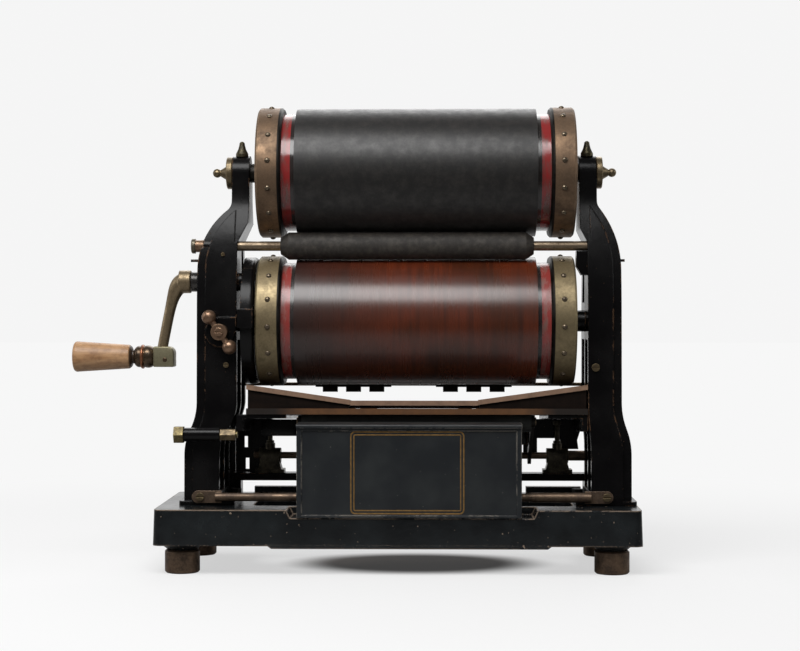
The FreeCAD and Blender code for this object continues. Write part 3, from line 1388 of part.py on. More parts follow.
# ---- all sub-parts ----
def sub_parts():
    """Every node's name with its solid or its group of solids."""
    lower_studs = drum_studs(lower_axis_z, lower_stud_phase)
    upper_studs = drum_studs(upper_axis_z, upper_stud_phase)
    rear_depth = table_depth - table_rear_start()
    return {
        "base_casting": base_casting(),
        "feet": feet(),
        "left_side_frame": side_frame(-1),
        "right_side_frame": side_frame(1),
        "frame_bolts": frame_bolts(),
        "front_tie_rod": tie_rod(),
        "slotted_screws": tie_rod_screws() + small_screws(),
        "cross_bar": cross_bar(),
        "left_pedestal": pedestal(left_pedestal_x),
        "right_pedestal": pedestal(right_pedestal_x),
        "left_adjusting_screw": adjusting_screw(left_pedestal_x),
        "right_adjusting_screw": adjusting_screw(right_pedestal_x),
        "lower_drum": drum_body(lower_axis_z),
        "lower_drum_bands": drum_bands(lower_axis_z),
        "lower_left_wheel": rim_with_stud_holes(drum_wheel(lower_axis_z, -1), lower_studs),
        "lower_right_wheel": rim_with_stud_holes(drum_wheel(lower_axis_z, 1), lower_studs),
        "lower_drum_studs": lower_studs,
        "lower_axle": lower_axle(),
        "drum_gear": drum_gear(),
        "gear_guard": gear_guard(),
        "upper_drum": drum_body(upper_axis_z),
        "upper_drum_bands": drum_bands(upper_axis_z),
        "upper_left_wheel": rim_with_stud_holes(drum_wheel(upper_axis_z, -1), upper_studs),
        "upper_right_wheel": rim_with_stud_holes(drum_wheel(upper_axis_z, 1), upper_studs),
        "upper_drum_studs": upper_studs,
        "upper_axle": upper_axle(),
        "inking_roller": inking_roller(),
        "inking_roller_shaft": inking_shaft(),
        "inking_roller_knob": inking_knob(),
        "rocker_shaft": rocker_shaft(),
        "left_rocker_arm": rocker_arm(-1),
        "right_rocker_arm": rocker_arm(1),
        "impression_roller": impression_roller(),
        "impression_core": impression_core(),
        "crank_bush": crank_bush(),
        "crank_shaft": crank_shaft(),
        "crank_pinion": crank_pinion(),
        "crank_arm": crank_arm(),
        "grip_spindle": grip_spindle(),
        "grip_ferrule": grip_ferrule(),
        "wooden_grip": wooden_grip(),
        "box_casing": box_casing(),
        "box_cover": box_cover(),
        "box_hinge_pin": box_hinge_pin(),
        "front_lower_board": lower_board(0, table_slot_front),
        "rear_lower_board": lower_board(table_rear_start(), rear_depth),
        "front_centre_board": centre_board(0, table_slot_front),
        "rear_centre_board": centre_board(table_rear_start(), rear_depth),
        "left_wing_board": wing_board(-1),
        "right_wing_board": wing_board(1),
        "table_packings": table_packings(),
        "left_board_bearer": board_bearer(-1),
        "right_board_bearer": board_bearer(1),
        "stripper_rod": stripper_rod(),
        "stripper_combs": [stripper_comb(start) for start in comb_starts],
        "axle_caps": [axle_cap(-1), axle_cap(1)],
        "oil_caps": [oil_cap(-1), oil_cap(1)],
        "ball_lever": ball_lever(),
        "lug_bolt": lug_bolt(),
        "lug_nut": lug_nut(),
    }


def machine_origin(shapes):
    """The bottom centre of the whole machine."""
    bounds = Part.makeCompound(list(shapes.values())).BoundBox
    return V((bounds.XMin + bounds.XMax) / 2, (bounds.YMin + bounds.YMax) / 2, bounds.ZMin)


def built_parts():
    """All sub-parts as shapes in the machine's own frame, and the origin they were moved by."""
    shapes = {name: Part.makeCompound(part) if isinstance(part, list) else part
              for name, part in sub_parts().items()}
    origin = machine_origin(shapes)
    for shape in shapes.values():
        shape.translate(origin * -1)
    return shapes, origin


def main():
    """Write one STEP file for each sub-part."""
    os.makedirs("parts", exist_ok=True)
    shapes, _ = built_parts()
    for name, shape in shapes.items():
        shape.exportStep("parts/" + name + ".step")


if __name__ == "__main__":
    main()
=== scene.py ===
# %% [markdown]
# # A hand-cranked stencil duplicator
# Two drums stand one above the other between cast side frames. A covered roller between them carries the
# ink, and a smaller roller under the lower drum presses the paper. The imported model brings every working
# piece in its place. This file gives each of them its finish, puts a finer shape in the place of four, and
# adds the small things that only show.

# %% Load the frame
import math

import bpy
from mathutils import Matrix, Vector


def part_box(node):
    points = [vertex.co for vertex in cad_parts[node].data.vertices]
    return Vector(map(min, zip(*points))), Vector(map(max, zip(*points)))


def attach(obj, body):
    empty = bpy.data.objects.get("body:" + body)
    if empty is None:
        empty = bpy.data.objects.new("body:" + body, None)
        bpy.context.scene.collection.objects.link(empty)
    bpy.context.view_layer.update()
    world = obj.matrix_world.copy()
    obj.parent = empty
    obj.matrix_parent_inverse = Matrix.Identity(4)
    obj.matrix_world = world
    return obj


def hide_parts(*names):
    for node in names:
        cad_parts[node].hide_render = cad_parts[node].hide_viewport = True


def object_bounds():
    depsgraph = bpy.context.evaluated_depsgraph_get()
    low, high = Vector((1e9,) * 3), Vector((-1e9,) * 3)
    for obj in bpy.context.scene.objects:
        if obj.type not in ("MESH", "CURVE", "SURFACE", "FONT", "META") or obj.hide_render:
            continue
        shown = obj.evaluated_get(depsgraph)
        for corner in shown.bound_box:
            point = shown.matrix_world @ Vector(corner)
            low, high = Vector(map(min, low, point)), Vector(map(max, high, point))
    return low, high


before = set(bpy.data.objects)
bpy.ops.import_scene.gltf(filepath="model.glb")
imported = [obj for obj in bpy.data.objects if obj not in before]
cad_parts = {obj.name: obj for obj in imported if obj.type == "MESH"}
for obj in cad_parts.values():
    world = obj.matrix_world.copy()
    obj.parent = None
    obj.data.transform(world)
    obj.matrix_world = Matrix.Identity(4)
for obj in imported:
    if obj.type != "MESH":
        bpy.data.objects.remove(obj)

cad_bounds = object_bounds()

# %% [markdown]
# ## Small helpers
# Paint charts give colours as sRGB, but a shader works in linear light, so one function turns a hex colour
# into the linear one. The next adds a shader node, sets its own properties, and fills or links its sockets.
# A socket is named by its label, or by its number where several share a label.

# %% Colours and nodes
MM = 0.001


def linear(hex_colour):
    """An sRGB hex colour as linear RGBA."""
    parts = [int(hex_colour[i:i + 2], 16) / 255 for i in (1, 3, 5)]
    return [c / 12.92 if c <= 0.04045 else ((c + 0.055) / 1.055) ** 2.4 for c in parts] + [1.0]


def add(tree, kind, inputs=None, **settings):
    """Add a node; inputs holds values to set or sockets to link."""
    made = tree.nodes.new(kind)
    for name, value in settings.items():
        setattr(made, name, value)
    for name, value in (inputs or {}).items():
        if isinstance(value, bpy.types.NodeSocket):
            tree.links.new(value, made.inputs[name])
        else:
            made.inputs[name].default_value = value
    return made


def new_material(name):
    """An empty node material with its tree, its surface shader and the Object coordinates."""
    material = bpy.data.materials.new(name)
    material.use_nodes = True
    tree = material.node_tree
    tree.nodes.clear()
    shader = add(tree, "ShaderNodeBsdfPrincipled")
    add(tree, "ShaderNodeOutputMaterial", {"Surface": shader.outputs[0]})
    place = add(tree, "ShaderNodeTexCoord").outputs["Object"]
    return material, tree, shader, place


# %% [markdown]
# ## Edges
# No real edge is sharp: a thin rounded line catches the light there, and paint wears off it first. The Bevel
# node gives the direction that a rounded edge would face. The shader uses it as the normal, and where it
# differs from the true face there is an edge.

# %% Where the edges are
EDGE_STARTS, EDGE_FULL = 0.995, 0.90    # cosines of the angle between a true face and the rounded one


def worn_edge(tree, radius_mm):
    """The normal of rounded edges, and a mask that is 1 on an edge and 0 away from it."""
    true_face = add(tree, "ShaderNodeNewGeometry").outputs["Normal"]
    rounded = add(tree, "ShaderNodeBevel", {"Radius": radius_mm * MM}, samples=4).outputs[0]
    facing = add(tree, "ShaderNodeVectorMath", {0: true_face, 1: rounded},
                 operation="DOT_PRODUCT").outputs["Value"]
    edge = add(tree, "ShaderNodeMapRange", {"Value": facing, "From Min": EDGE_STARTS,
                                            "From Max": EDGE_FULL}).outputs[0]
    return rounded, edge


# %% [markdown]
# ## Rings of another colour
# A few pieces change colour along the X axis: a near-black stripe in the groove beside a rim and another at a
# band's edge beside the rim, partly ink and partly painted shade in those corners; a copper ring on the
# grip's ferrule; and darker ends on the lower table boards, which are painted shadow from the wing boards
# above them. The drums and the table are nearly the same to the left and right, so such a ring is a range of
# distances from the plane midway between the drums' ends.

# %% A ring by its distance from the middle
DRUM_LOW, DRUM_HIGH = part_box("lower_drum")
MID_PLANE_X = (DRUM_LOW.x + DRUM_HIGH.x) / 2


def ringed(tree, place, colour, ring):
    """Another colour over a range of distances from the mid-plane.

    ring is None, or where it begins and ends and how far it fades, in mm, and its colour.
    """
    if not ring:
        return colour
    nearest, furthest, fade, hex_colour = ring
    half = (furthest - nearest) / 2
    along = add(tree, "ShaderNodeSeparateXYZ", {0: place}).outputs["X"]
    offset = add(tree, "ShaderNodeMath", {0: along, 1: MID_PLANE_X}, operation="SUBTRACT").outputs[0]
    distance = add(tree, "ShaderNodeMath", {0: offset}, operation="ABSOLUTE").outputs[0]
    past = add(tree, "ShaderNodeMath", {0: distance, 1: (nearest + half) * MM},
               operation="SUBTRACT").outputs[0]
    outside = add(tree, "ShaderNodeMath", {0: past}, operation="ABSOLUTE").outputs[0]
    inside = add(tree, "ShaderNodeMapRange", {"Value": outside, "From Min": (half + fade) * MM,
                                              "From Max": half * MM}).outputs[0]
    return add(tree, "ShaderNodeMix", {0: inside, 6: colour, 7: linear(hex_colour)},
               data_type="RGBA").outputs[2]


# %% [markdown]
# ## Chipped japan
# Japan is a black varnish stoved onto cast iron. It is deep black and glossy, and over the years it chips
# where hands and tools knock the corners. Noise breaks the edge line into chips, and a larger noise leaves
# some stretches whole and others bare.

# %% Black japan on cast iron
STRETCH_MM = 48             # how long a stretch of edge stays whole or bare
GRIME_MM = 34               # the size of a dusty patch
RIPPLE_MM = 8               # from one wave of the varnish to the next


def chipped_paint(name, paint, dust, bare, gloss, shine, edge_mm, chip_mm, chip_amount, fleck_mm,
                  fleck_amount):
    """A glossy paint, chipped through to the metal along its edges and in scattered flecks."""
    material, tree, shader, place = new_material(name)
    rounded, edge = worn_edge(tree, edge_mm)
    chips = add(tree, "ShaderNodeTexNoise", {"Vector": place, "Scale": 1 / (chip_mm * MM), "Detail": 5.0,
                                             "Roughness": 0.7}).outputs[0]
    stretch = add(tree, "ShaderNodeTexNoise", {"Vector": place, "Scale": 1 / (STRETCH_MM * MM),
                                               "Detail": 2.0}).outputs[0]
    knocked = add(tree, "ShaderNodeMath", {0: chips, 1: stretch}, operation="ADD").outputs[0]
    broken = add(tree, "ShaderNodeMapRange", {"Value": knocked, "From Min": 1.12 - chip_amount,
                                              "From Max": 1.20 - chip_amount}).outputs[0]
    worn_line = add(tree, "ShaderNodeMath", {0: edge, 1: broken}, operation="MULTIPLY").outputs[0]
    specks = add(tree, "ShaderNodeTexNoise", {"Vector": place, "Scale": 1 / (fleck_mm * MM),
                                              "Detail": 3.0}).outputs[0]
    flecks = add(tree, "ShaderNodeMapRange", {"Value": specks, "From Min": 0.77 - fleck_amount,
                                              "From Max": 0.795 - fleck_amount, "To Max": 0.7}).outputs[0]
    worn = add(tree, "ShaderNodeMath", {0: worn_line, 1: flecks}, operation="MAXIMUM").outputs[0]
    grime = add(tree, "ShaderNodeTexNoise", {"Vector": place, "Scale": 1 / (GRIME_MM * MM),
                                             "Detail": 6.0}).outputs[0]
    dusty = add(tree, "ShaderNodeMapRange", {"Value": grime, "From Min": 0.42, "From Max": 0.75}).outputs[0]
    coat = add(tree, "ShaderNodeMix", {0: dusty, 6: linear(paint), 7: linear(dust)},
               data_type="RGBA").outputs[2]
    colour = add(tree, "ShaderNodeMix", {0: worn, 6: coat, 7: linear(bare)}, data_type="RGBA").outputs[2]
    tree.links.new(colour, shader.inputs["Base Color"])
    soft = add(tree, "ShaderNodeMapRange", {"Value": grime, "To Min": gloss - 0.06,
                                            "To Max": gloss + 0.14}).outputs[0]
    rough = add(tree, "ShaderNodeMath", {0: soft, 1: worn}, operation="MAXIMUM").outputs[0]
    tree.links.new(rough, shader.inputs["Roughness"])
    ripple = add(tree, "ShaderNodeTexNoise", {"Vector": place, "Scale": 1 / (RIPPLE_MM * MM),
                                              "Detail": 2.0}).outputs[0]
    bump = add(tree, "ShaderNodeBump", {"Height": ripple, "Strength": 0.16, "Distance": 0.5 * MM,
                                        "Normal": rounded}).outputs[0]
    tree.links.new(bump, shader.inputs["Normal"])
    shader.inputs["Specular IOR Level"].default_value = shine
    return material


black_japan = chipped_paint("black_japan_on_iron", "#080708", "#131212", "#7a5b43", gloss=0.21, shine=0.24,
                            edge_mm=1.8, chip_mm=7.0, chip_amount=0.06, fleck_mm=2.6, fleck_amount=0.025)
base_japan = chipped_paint("black_japan_on_base", "#0f1214", "#1f2426", "#a8937f", gloss=0.18, shine=0.5,
                           edge_mm=2.2, chip_mm=6.0, chip_amount=0.24, fleck_mm=4.0, fleck_amount=0.075)
box_tin = chipped_paint("black_enamelled_tin", "#202326", "#2d3031", "#8a847b", gloss=0.36, shine=0.4,
                        edge_mm=1.5, chip_mm=5.0, chip_amount=0.17, fleck_mm=2.6, fleck_amount=0.035)

# %% [markdown]
# ## The lower drum
# Its lacquer is a dark mahogany brown that has been wiped round and round for years, so its streaks run
# around it. Such a streak is a noise that changes quickly along the axle and hardly at all around it: the
# Mapping node stretches the pattern that way. Ink has darkened the end beside the crank.

# %% Mahogany lacquer
STREAK_MM = 5.0             # from one wiped streak to the next, along the axle
WARM_MM = 55                # the size of a warmer patch
INK_FULL, INK_GONE = 30 * MM, 125 * MM      # from the drum's end, with the ragged length counted in
INK_RAGGED = 60 * MM        # how far the streaks pull the ink along


def wiped_lacquer(name, main, warm, streak, inky, gloss):
    """A smooth lacquer with faint streaks around the X axis, darker towards one end."""
    material, tree, shader, place = new_material(name)
    lay = add(tree, "ShaderNodeMapping", {"Vector": place, "Scale": (1.0, 0.05, 0.05)}).outputs[0]
    fine = add(tree, "ShaderNodeTexNoise", {"Vector": lay, "Scale": 1 / (STREAK_MM * MM), "Detail": 7.0,
                                            "Roughness": 0.62}).outputs[0]
    cloud = add(tree, "ShaderNodeTexNoise", {"Vector": place, "Scale": 1 / (WARM_MM * MM),
                                             "Detail": 4.0}).outputs[0]
    warmer = add(tree, "ShaderNodeMapRange", {"Value": cloud, "From Min": 0.38, "From Max": 0.66}).outputs[0]
    base = add(tree, "ShaderNodeMix", {0: warmer, 6: linear(main), 7: linear(warm)},
               data_type="RGBA").outputs[2]
    lines = add(tree, "ShaderNodeMapRange", {"Value": fine, "From Min": 0.48, "From Max": 0.74,
                                             "To Max": 0.60}).outputs[0]
    lined = add(tree, "ShaderNodeMix", {0: lines, 6: base, 7: linear(streak)}, data_type="RGBA").outputs[2]
    along = add(tree, "ShaderNodeSeparateXYZ", {0: place}).outputs["X"]
    ragged = add(tree, "ShaderNodeMath", {0: fine, 1: INK_RAGGED, 2: along},
                 operation="MULTIPLY_ADD").outputs[0]
    end = add(tree, "ShaderNodeMapRange", {"Value": ragged, "From Min": DRUM_LOW.x + INK_FULL,
                                           "From Max": DRUM_LOW.x + INK_GONE, "To Min": 0.85,
                                           "To Max": 0.0}).outputs[0]
    colour = add(tree, "ShaderNodeMix", {0: end, 6: lined, 7: linear(inky)}, data_type="RGBA").outputs[2]
    tree.links.new(colour, shader.inputs["Base Color"])
    rough = add(tree, "ShaderNodeMapRange", {"Value": fine, "To Min": gloss - 0.02,
                                             "To Max": gloss + 0.08}).outputs[0]
    tree.links.new(rough, shader.inputs["Roughness"])
    bump = add(tree, "ShaderNodeBump", {"Height": fine, "Strength": 0.04, "Distance": 0.3 * MM}).outputs[0]
    tree.links.new(bump, shader.inputs["Normal"])
    shader.inputs["Specular IOR Level"].default_value = 0.8
    return material


mahogany_lacquer = wiped_lacquer("mahogany_lacquer", "#48210f", "#602813", "#1a0e0a", "#2a1e1c", 0.25)

# %% [markdown]
# ## Red enamel bands
# A band of brushed red enamel closes each end of the drums. It is glossy, and it has worn to a dull
# brownish grey in patches that run round with the drum.

# %% Red enamel
RUB_MM = 7.0                # the width of a rubbed patch, across the band


def rubbed_enamel(name, red, worn_colour, gloss, ring):
    """A glossy enamel, rubbed dull in long patches around the X axis."""
    material, tree, shader, place = new_material(name)
    lay = add(tree, "ShaderNodeMapping", {"Vector": place, "Scale": (1.0, 0.28, 0.28)}).outputs[0]
    patch = add(tree, "ShaderNodeTexNoise", {"Vector": lay, "Scale": 1 / (RUB_MM * MM), "Detail": 6.0,
                                             "Roughness": 0.6}).outputs[0]
    worn = add(tree, "ShaderNodeMapRange", {"Value": patch, "From Min": 0.46, "From Max": 0.66,
                                            "To Max": 0.85}).outputs[0]
    colour = add(tree, "ShaderNodeMix", {0: worn, 6: linear(red), 7: linear(worn_colour)},
                 data_type="RGBA").outputs[2]
    tree.links.new(ringed(tree, place, colour, ring), shader.inputs["Base Color"])
    rough = add(tree, "ShaderNodeMapRange", {"Value": worn, "To Min": gloss,
                                             "To Max": gloss + 0.22}).outputs[0]
    tree.links.new(rough, shader.inputs["Roughness"])
    shader.inputs["Specular IOR Level"].default_value = 0.8
    return material


# a near-black stripe at the band's edge beside the rim: partly ink, partly painted shade in that corner
BAND_EDGE_INK_AND_SHADE = (121.0, 126.0, 0.3, "#2b2422")
red_enamel = rubbed_enamel("rubbed_red_enamel", "#8d2b2a", "#5a463f", 0.14, BAND_EDGE_INK_AND_SHADE)
pale_enamel = rubbed_enamel("pale_rubbed_enamel", "#963c37", "#7b6057", 0.22, BAND_EDGE_INK_AND_SHADE)

# %% [markdown]
# ## Rubbered cloth and felt
# The upper drum is covered with black rubbered cloth: a low sheen, with fine creases and mottles where the
# stencils have lain. The inking roller is felt, soaked with ink, and the pressing roller is grey rubber.

# %% Dull coverings
def dull_cloth(name, main, worn, roughness, thread_mm, mottle_mm, relief):
    """A dull woven or rubbered covering, mottled where the surface has worn."""
    material, tree, shader, place = new_material(name)
    blotch = add(tree, "ShaderNodeTexNoise", {"Vector": place, "Scale": 1 / (mottle_mm * MM), "Detail": 9.0,
                                              "Roughness": 0.72}).outputs[0]
    patch = add(tree, "ShaderNodeMapRange", {"Value": blotch, "From Min": 0.44, "From Max": 0.72}).outputs[0]
    colour = add(tree, "ShaderNodeMix", {0: patch, 6: linear(main), 7: linear(worn)},
                 data_type="RGBA").outputs[2]
    tree.links.new(colour, shader.inputs["Base Color"])
    rough = add(tree, "ShaderNodeMapRange", {"Value": blotch, "From Min": 0.3, "From Max": 0.7,
                                             "To Min": roughness + 0.10,
                                             "To Max": roughness - 0.08}).outputs[0]
    tree.links.new(rough, shader.inputs["Roughness"])
    grit = add(tree, "ShaderNodeTexNoise", {"Vector": place, "Scale": 1 / (thread_mm * MM),
                                            "Detail": 3.0}).outputs[0]
    bump = add(tree, "ShaderNodeBump", {"Height": grit, "Strength": relief, "Distance": 0.25 * MM}).outputs[0]
    tree.links.new(bump, shader.inputs["Normal"])
    return material


drum_cloth = dull_cloth("rubbered_cloth", "#1d1c1b", "#363331", 0.40, 1.3, 11.0, 0.30)
roller_felt = dull_cloth("inked_roller_covering", "#2c2824", "#48423b", 0.66, 0.8, 7.0, 0.45)
press_rubber = dull_cloth("grey_press_rubber", "#3b3d3a", "#2a2a28", 0.55, 0.9, 12.0, 0.20)

# %% [markdown]
# ## Metals
# Brass and bronze that are handled stay bright on the high places and turn brown or green in the others.
# The brown patina is an oxide, so a stained place is darker, duller and less of a metal. The same noise
# drives all three. The index of refraction is left alone, because a metal does not use it.

# %% Stained metals
METAL_EDGE_MM = 0.8         # how far the edges are rubbed
MARKS_MM = 2.2              # the size of the small marks in the patina
RUBBED_SHARE = 0.6          # how much of the stain is rubbed off an edge


def stained_metal(name, clean, stain, roughness, cloud_mm, rubbed=None, ring=None):
    """A metal with a soft patina, edges rubbed to another colour, and a ring where one is given."""
    material, tree, shader, place = new_material(name)
    rounded, edge = worn_edge(tree, METAL_EDGE_MM)
    cloud = add(tree, "ShaderNodeTexNoise", {"Vector": place, "Scale": 1 / (cloud_mm * MM), "Detail": 5.0,
                                             "Roughness": 0.6}).outputs[0]
    marks = add(tree, "ShaderNodeTexNoise", {"Vector": place, "Scale": 1 / (MARKS_MM * MM), "Detail": 4.0,
                                             "Roughness": 0.7}).outputs[0]
    both = add(tree, "ShaderNodeMix", {0: 0.35, 2: cloud, 3: marks}).outputs[0]
    stained = add(tree, "ShaderNodeMapRange", {"Value": both, "From Min": 0.36, "From Max": 0.62}).outputs[0]
    colour = add(tree, "ShaderNodeMix", {0: stained, 6: linear(clean), 7: linear(stain)},
                 data_type="RGBA").outputs[2]
    bright = add(tree, "ShaderNodeMath", {0: edge, 1: RUBBED_SHARE}, operation="MULTIPLY").outputs[0]
    colour = add(tree, "ShaderNodeMix", {0: bright, 6: colour, 7: linear(rubbed or clean)},
                 data_type="RGBA").outputs[2]
    tree.links.new(ringed(tree, place, colour, ring), shader.inputs["Base Color"])
    metal = add(tree, "ShaderNodeMapRange", {"Value": stained, "To Min": 0.92, "To Max": 0.5}).outputs[0]
    tree.links.new(metal, shader.inputs["Metallic"])
    rough = add(tree, "ShaderNodeMapRange", {"Value": stained, "To Min": roughness,
                                             "To Max": roughness + 0.16}).outputs[0]
    tree.links.new(rough, shader.inputs["Roughness"])
    bump = add(tree, "ShaderNodeBump", {"Height": marks, "Strength": 0.12, "Distance": 0.2 * MM,
                                        "Normal": rounded}).outputs[0]
    tree.links.new(bump, shader.inputs["Normal"])
    return material


# a near-black stripe in the groove beside the band: partly ink, partly painted shade in that recess
RIM_GROOVE_INK_AND_SHADE = (135.0, 139.0, 0.3, "#15110d")

rim_brass = stained_metal("olive_rim_brass", "#a09070", "#75674c", 0.38, 12.0, "#d3c391", RIM_GROOVE_INK_AND_SHADE)
rim_bronze = stained_metal("brown_rim_bronze", "#8b725b", "#5f4c3b", 0.44, 16.0, "#c7ab89", RIM_GROOVE_INK_AND_SHADE)
arm_bronze = stained_metal("handled_bronze", "#a99679", "#6c5d45", 0.32, 16.0, "#c5ae85")
block_bronze = stained_metal("pale_block_bronze", "#a7a083", "#7d765c", 0.36, 7.0, "#54442f")
lever_bronze = stained_metal("pink_bronze", "#a3846c", "#6a513f", 0.27, 12.0, "#c9a583")
ferrule_bronze = stained_metal("dark_ferrule_bronze", "#6f5c49", "#2f251c", 0.22, 6.0, "#96765a",
                               (278.4, 281.0, 0.3, "#8f5d42"))
cap_brass = stained_metal("dull_brass", "#8f7f63", "#554a39", 0.30, 8.0, "#b9a176")
oil_bronze = stained_metal("dark_oil_cap_bronze", "#59523d", "#2d291f", 0.32, 6.0, "#7f7657")
bolt_brass = stained_metal("bolt_brass", "#877a54", "#564b33", 0.34, 6.0, "#a2925f")
screw_brass = stained_metal("dull_screw_brass", "#7f6f55", "#4d4232", 0.32, 6.0, "#a08d68")
shaft_steel = stained_metal("browned_shaft_steel", "#a3917a", "#6b5a47", 0.34, 14.0, "#c5b498")
brown_steel = stained_metal("browned_rod_steel", "#8d7864", "#54453a", 0.36, 14.0, "#a99079")
stud_steel = stained_metal("stud_steel", "#8a7c68", "#4a3f33", 0.20, 6.0)
bush_steel = stained_metal("dark_bush_steel", "#5d5a57", "#2c2a29", 0.16, 10.0, "#8d8984")
knob_bronze = stained_metal("knob_bronze", "#a3866c", "#6a5240", 0.30, 8.0, "#c0a27a",
                            (225.4, 232.0, 0.2, "#6b6455"))
foot_steel = stained_metal("rusted_foot_steel", "#806a57", "#44362b", 0.34, 10.0, "#9c8069")
oily_iron = stained_metal("oily_iron", "#37332e", "#191714", 0.34, 9.0, "#615a50")
# a lighter copy of the iron for the pedestals and adjusting screws: partly wear, partly painted highlight for
# the light these parts catch under the table
worn_and_lit_iron = stained_metal("worn_and_lit_adjuster_iron", "#6d6656", "#2f2b24", 0.34, 8.0, "#8f8672")

# %% [markdown]
# ## Wood
# The table boards are stained nearly black on top and rubbed back to light brown along their edges. The
# grip is a pale turned hardwood, with its grain along its length and dirt from many hands.

# %% Grained wood
HANDS_MM = 9                # the size of a patch of dirt


def grained_wood(name, early, late, dirt, rubbed, gloss, ring_mm, length, ring=None, shine=0.5):
    """Wood with its grain along X, dirty in patches, with its upright edges rubbed to another colour."""
    material, tree, shader, place = new_material(name)
    lay = add(tree, "ShaderNodeMapping", {"Vector": place, "Scale": (1 / length, 1.0, 1.0)}).outputs[0]
    rings = add(tree, "ShaderNodeTexNoise", {"Vector": lay, "Scale": 1 / (ring_mm * MM), "Detail": 6.0,
                                             "Distortion": 0.5}).outputs[0]
    band = add(tree, "ShaderNodeMapRange", {"Value": rings, "From Min": 0.30, "From Max": 0.72}).outputs[0]
    grain = add(tree, "ShaderNodeMix", {0: band, 6: linear(early), 7: linear(late)},
                data_type="RGBA").outputs[2]
    hands = add(tree, "ShaderNodeTexNoise", {"Vector": place, "Scale": 1 / (HANDS_MM * MM), "Detail": 7.0,
                                             "Roughness": 0.68}).outputs[0]
    dirty = add(tree, "ShaderNodeMapRange", {"Value": hands, "From Min": 0.44, "From Max": 0.74,
                                             "To Max": 0.8}).outputs[0]
    colour = add(tree, "ShaderNodeMix", {0: dirty, 6: grain, 7: linear(dirt)}, data_type="RGBA").outputs[2]
    if rubbed:
        face = add(tree, "ShaderNodeNewGeometry").outputs["Normal"]
        upward = add(tree, "ShaderNodeSeparateXYZ", {0: face}).outputs["Z"]
        level = add(tree, "ShaderNodeMath", {0: upward}, operation="ABSOLUTE").outputs[0]
        side = add(tree, "ShaderNodeMapRange", {"Value": level, "From Min": 0.5, "From Max": 0.2}).outputs[0]
        patchy = add(tree, "ShaderNodeMapRange", {"Value": hands, "From Min": 0.3, "From Max": 0.7,
                                                  "To Min": 1.0, "To Max": 0.55}).outputs[0]
        bare = add(tree, "ShaderNodeMath", {0: side, 1: patchy}, operation="MULTIPLY").outputs[0]
        colour = add(tree, "ShaderNodeMix", {0: bare, 6: colour, 7: linear(rubbed)},
                     data_type="RGBA").outputs[2]
    tree.links.new(ringed(tree, place, colour, ring), shader.inputs["Base Color"])
    rough = add(tree, "ShaderNodeMapRange", {"Value": hands, "To Min": gloss - 0.08,
                                             "To Max": gloss + 0.12}).outputs[0]
    tree.links.new(rough, shader.inputs["Roughness"])
    bump = add(tree, "ShaderNodeBump", {"Height": rings, "Strength": 0.10, "Distance": 0.3 * MM}).outputs[0]
    tree.links.new(bump, shader.inputs["Normal"])
    shader.inputs["Specular IOR Level"].default_value = shine
    return material


wing_wood = grained_wood("rubbed_wing_board", "#4c3626", "#2b1c12", "#1c130d", "#9c7c65", 0.46, 3.5, 12.0)
# the lower boards' ends darken to near black over the ring: painted shadow cast by the wing boards above them
board_wood = grained_wood("stained_table_board", "#4c3020", "#2a190f", "#1a110b", "#6f4a29", 0.46, 3.5, 12.0,
                          (142.0, 180.0, 34.0, "#1d140d"))
# near-black packing wood: partly the wood's dark stain, partly painted shade for the dark under the wing
# boards
packing_wood_and_shade = grained_wood("dark_packing_wood", "#1d130d", "#110a07", "#0b0705", None, 0.60, 3.5, 12.0,
                            shine=0.1)
grip_wood = grained_wood("turned_grip_hardwood", "#c99f76", "#a87c54", "#7a5539", None, 0.38, 3.0, 9.0,
                         (285.5, 292.3, 1.0, "#3a2a1c"))

# %% [markdown]
# ## Dress the working pieces
# A node's own mesh and place stay as they are: only its material slots change. The table below says which
# finish each piece has, and the script stops with a plain message if a piece was forgotten.

# %% One finish for every node
FINISH = {
    black_japan: ["left_side_frame", "right_side_frame", "gear_guard", "cross_bar", "left_board_bearer",
                  "right_board_bearer"],
    base_japan: ["base_casting"],
    box_tin: ["box_casing", "box_cover"],
    mahogany_lacquer: ["lower_drum"],
    red_enamel: ["upper_drum_bands"],
    pale_enamel: ["lower_drum_bands"],
    drum_cloth: ["upper_drum"],
    roller_felt: ["inking_roller"],
    press_rubber: ["impression_roller"],
    rim_brass: ["lower_left_wheel", "lower_right_wheel"],
    rim_bronze: ["upper_left_wheel", "upper_right_wheel"],
    arm_bronze: ["crank_arm"],
    lever_bronze: ["ball_lever"],
    ferrule_bronze: ["grip_ferrule"],
    oil_bronze: ["oil_caps"],
    knob_bronze: ["inking_roller_knob"],
    cap_brass: ["axle_caps"],
    bolt_brass: ["lug_bolt"],
    screw_brass: ["slotted_screws", "lug_nut"],
    bush_steel: ["crank_bush"],
    shaft_steel: ["inking_roller_shaft", "crank_shaft", "grip_spindle", "impression_core", "stripper_rod",
                  "box_hinge_pin"],
    stud_steel: ["lower_drum_studs", "upper_drum_studs"],
    brown_steel: ["front_tie_rod", "rocker_shaft"],
    foot_steel: ["feet"],
    oily_iron: ["drum_gear", "crank_pinion", "left_rocker_arm", "right_rocker_arm", "stripper_combs",
                "frame_bolts", "upper_axle", "lower_axle"],
    worn_and_lit_iron: ["left_pedestal", "right_pedestal", "left_adjusting_screw", "right_adjusting_screw"],
    wing_wood: ["left_wing_board", "right_wing_board", "front_centre_board", "rear_centre_board"],
    board_wood: ["front_lower_board", "rear_lower_board"],
    packing_wood_and_shade: ["table_packings"],
    grip_wood: ["wooden_grip"],
}
for finish, names in FINISH.items():
    for name in names:
        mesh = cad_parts[name].data
        mesh.materials.clear()
        mesh.materials.append(finish)
dressed = {name for names in FINISH.values() for name in names}
bare_nodes = sorted(set(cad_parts) - dressed)
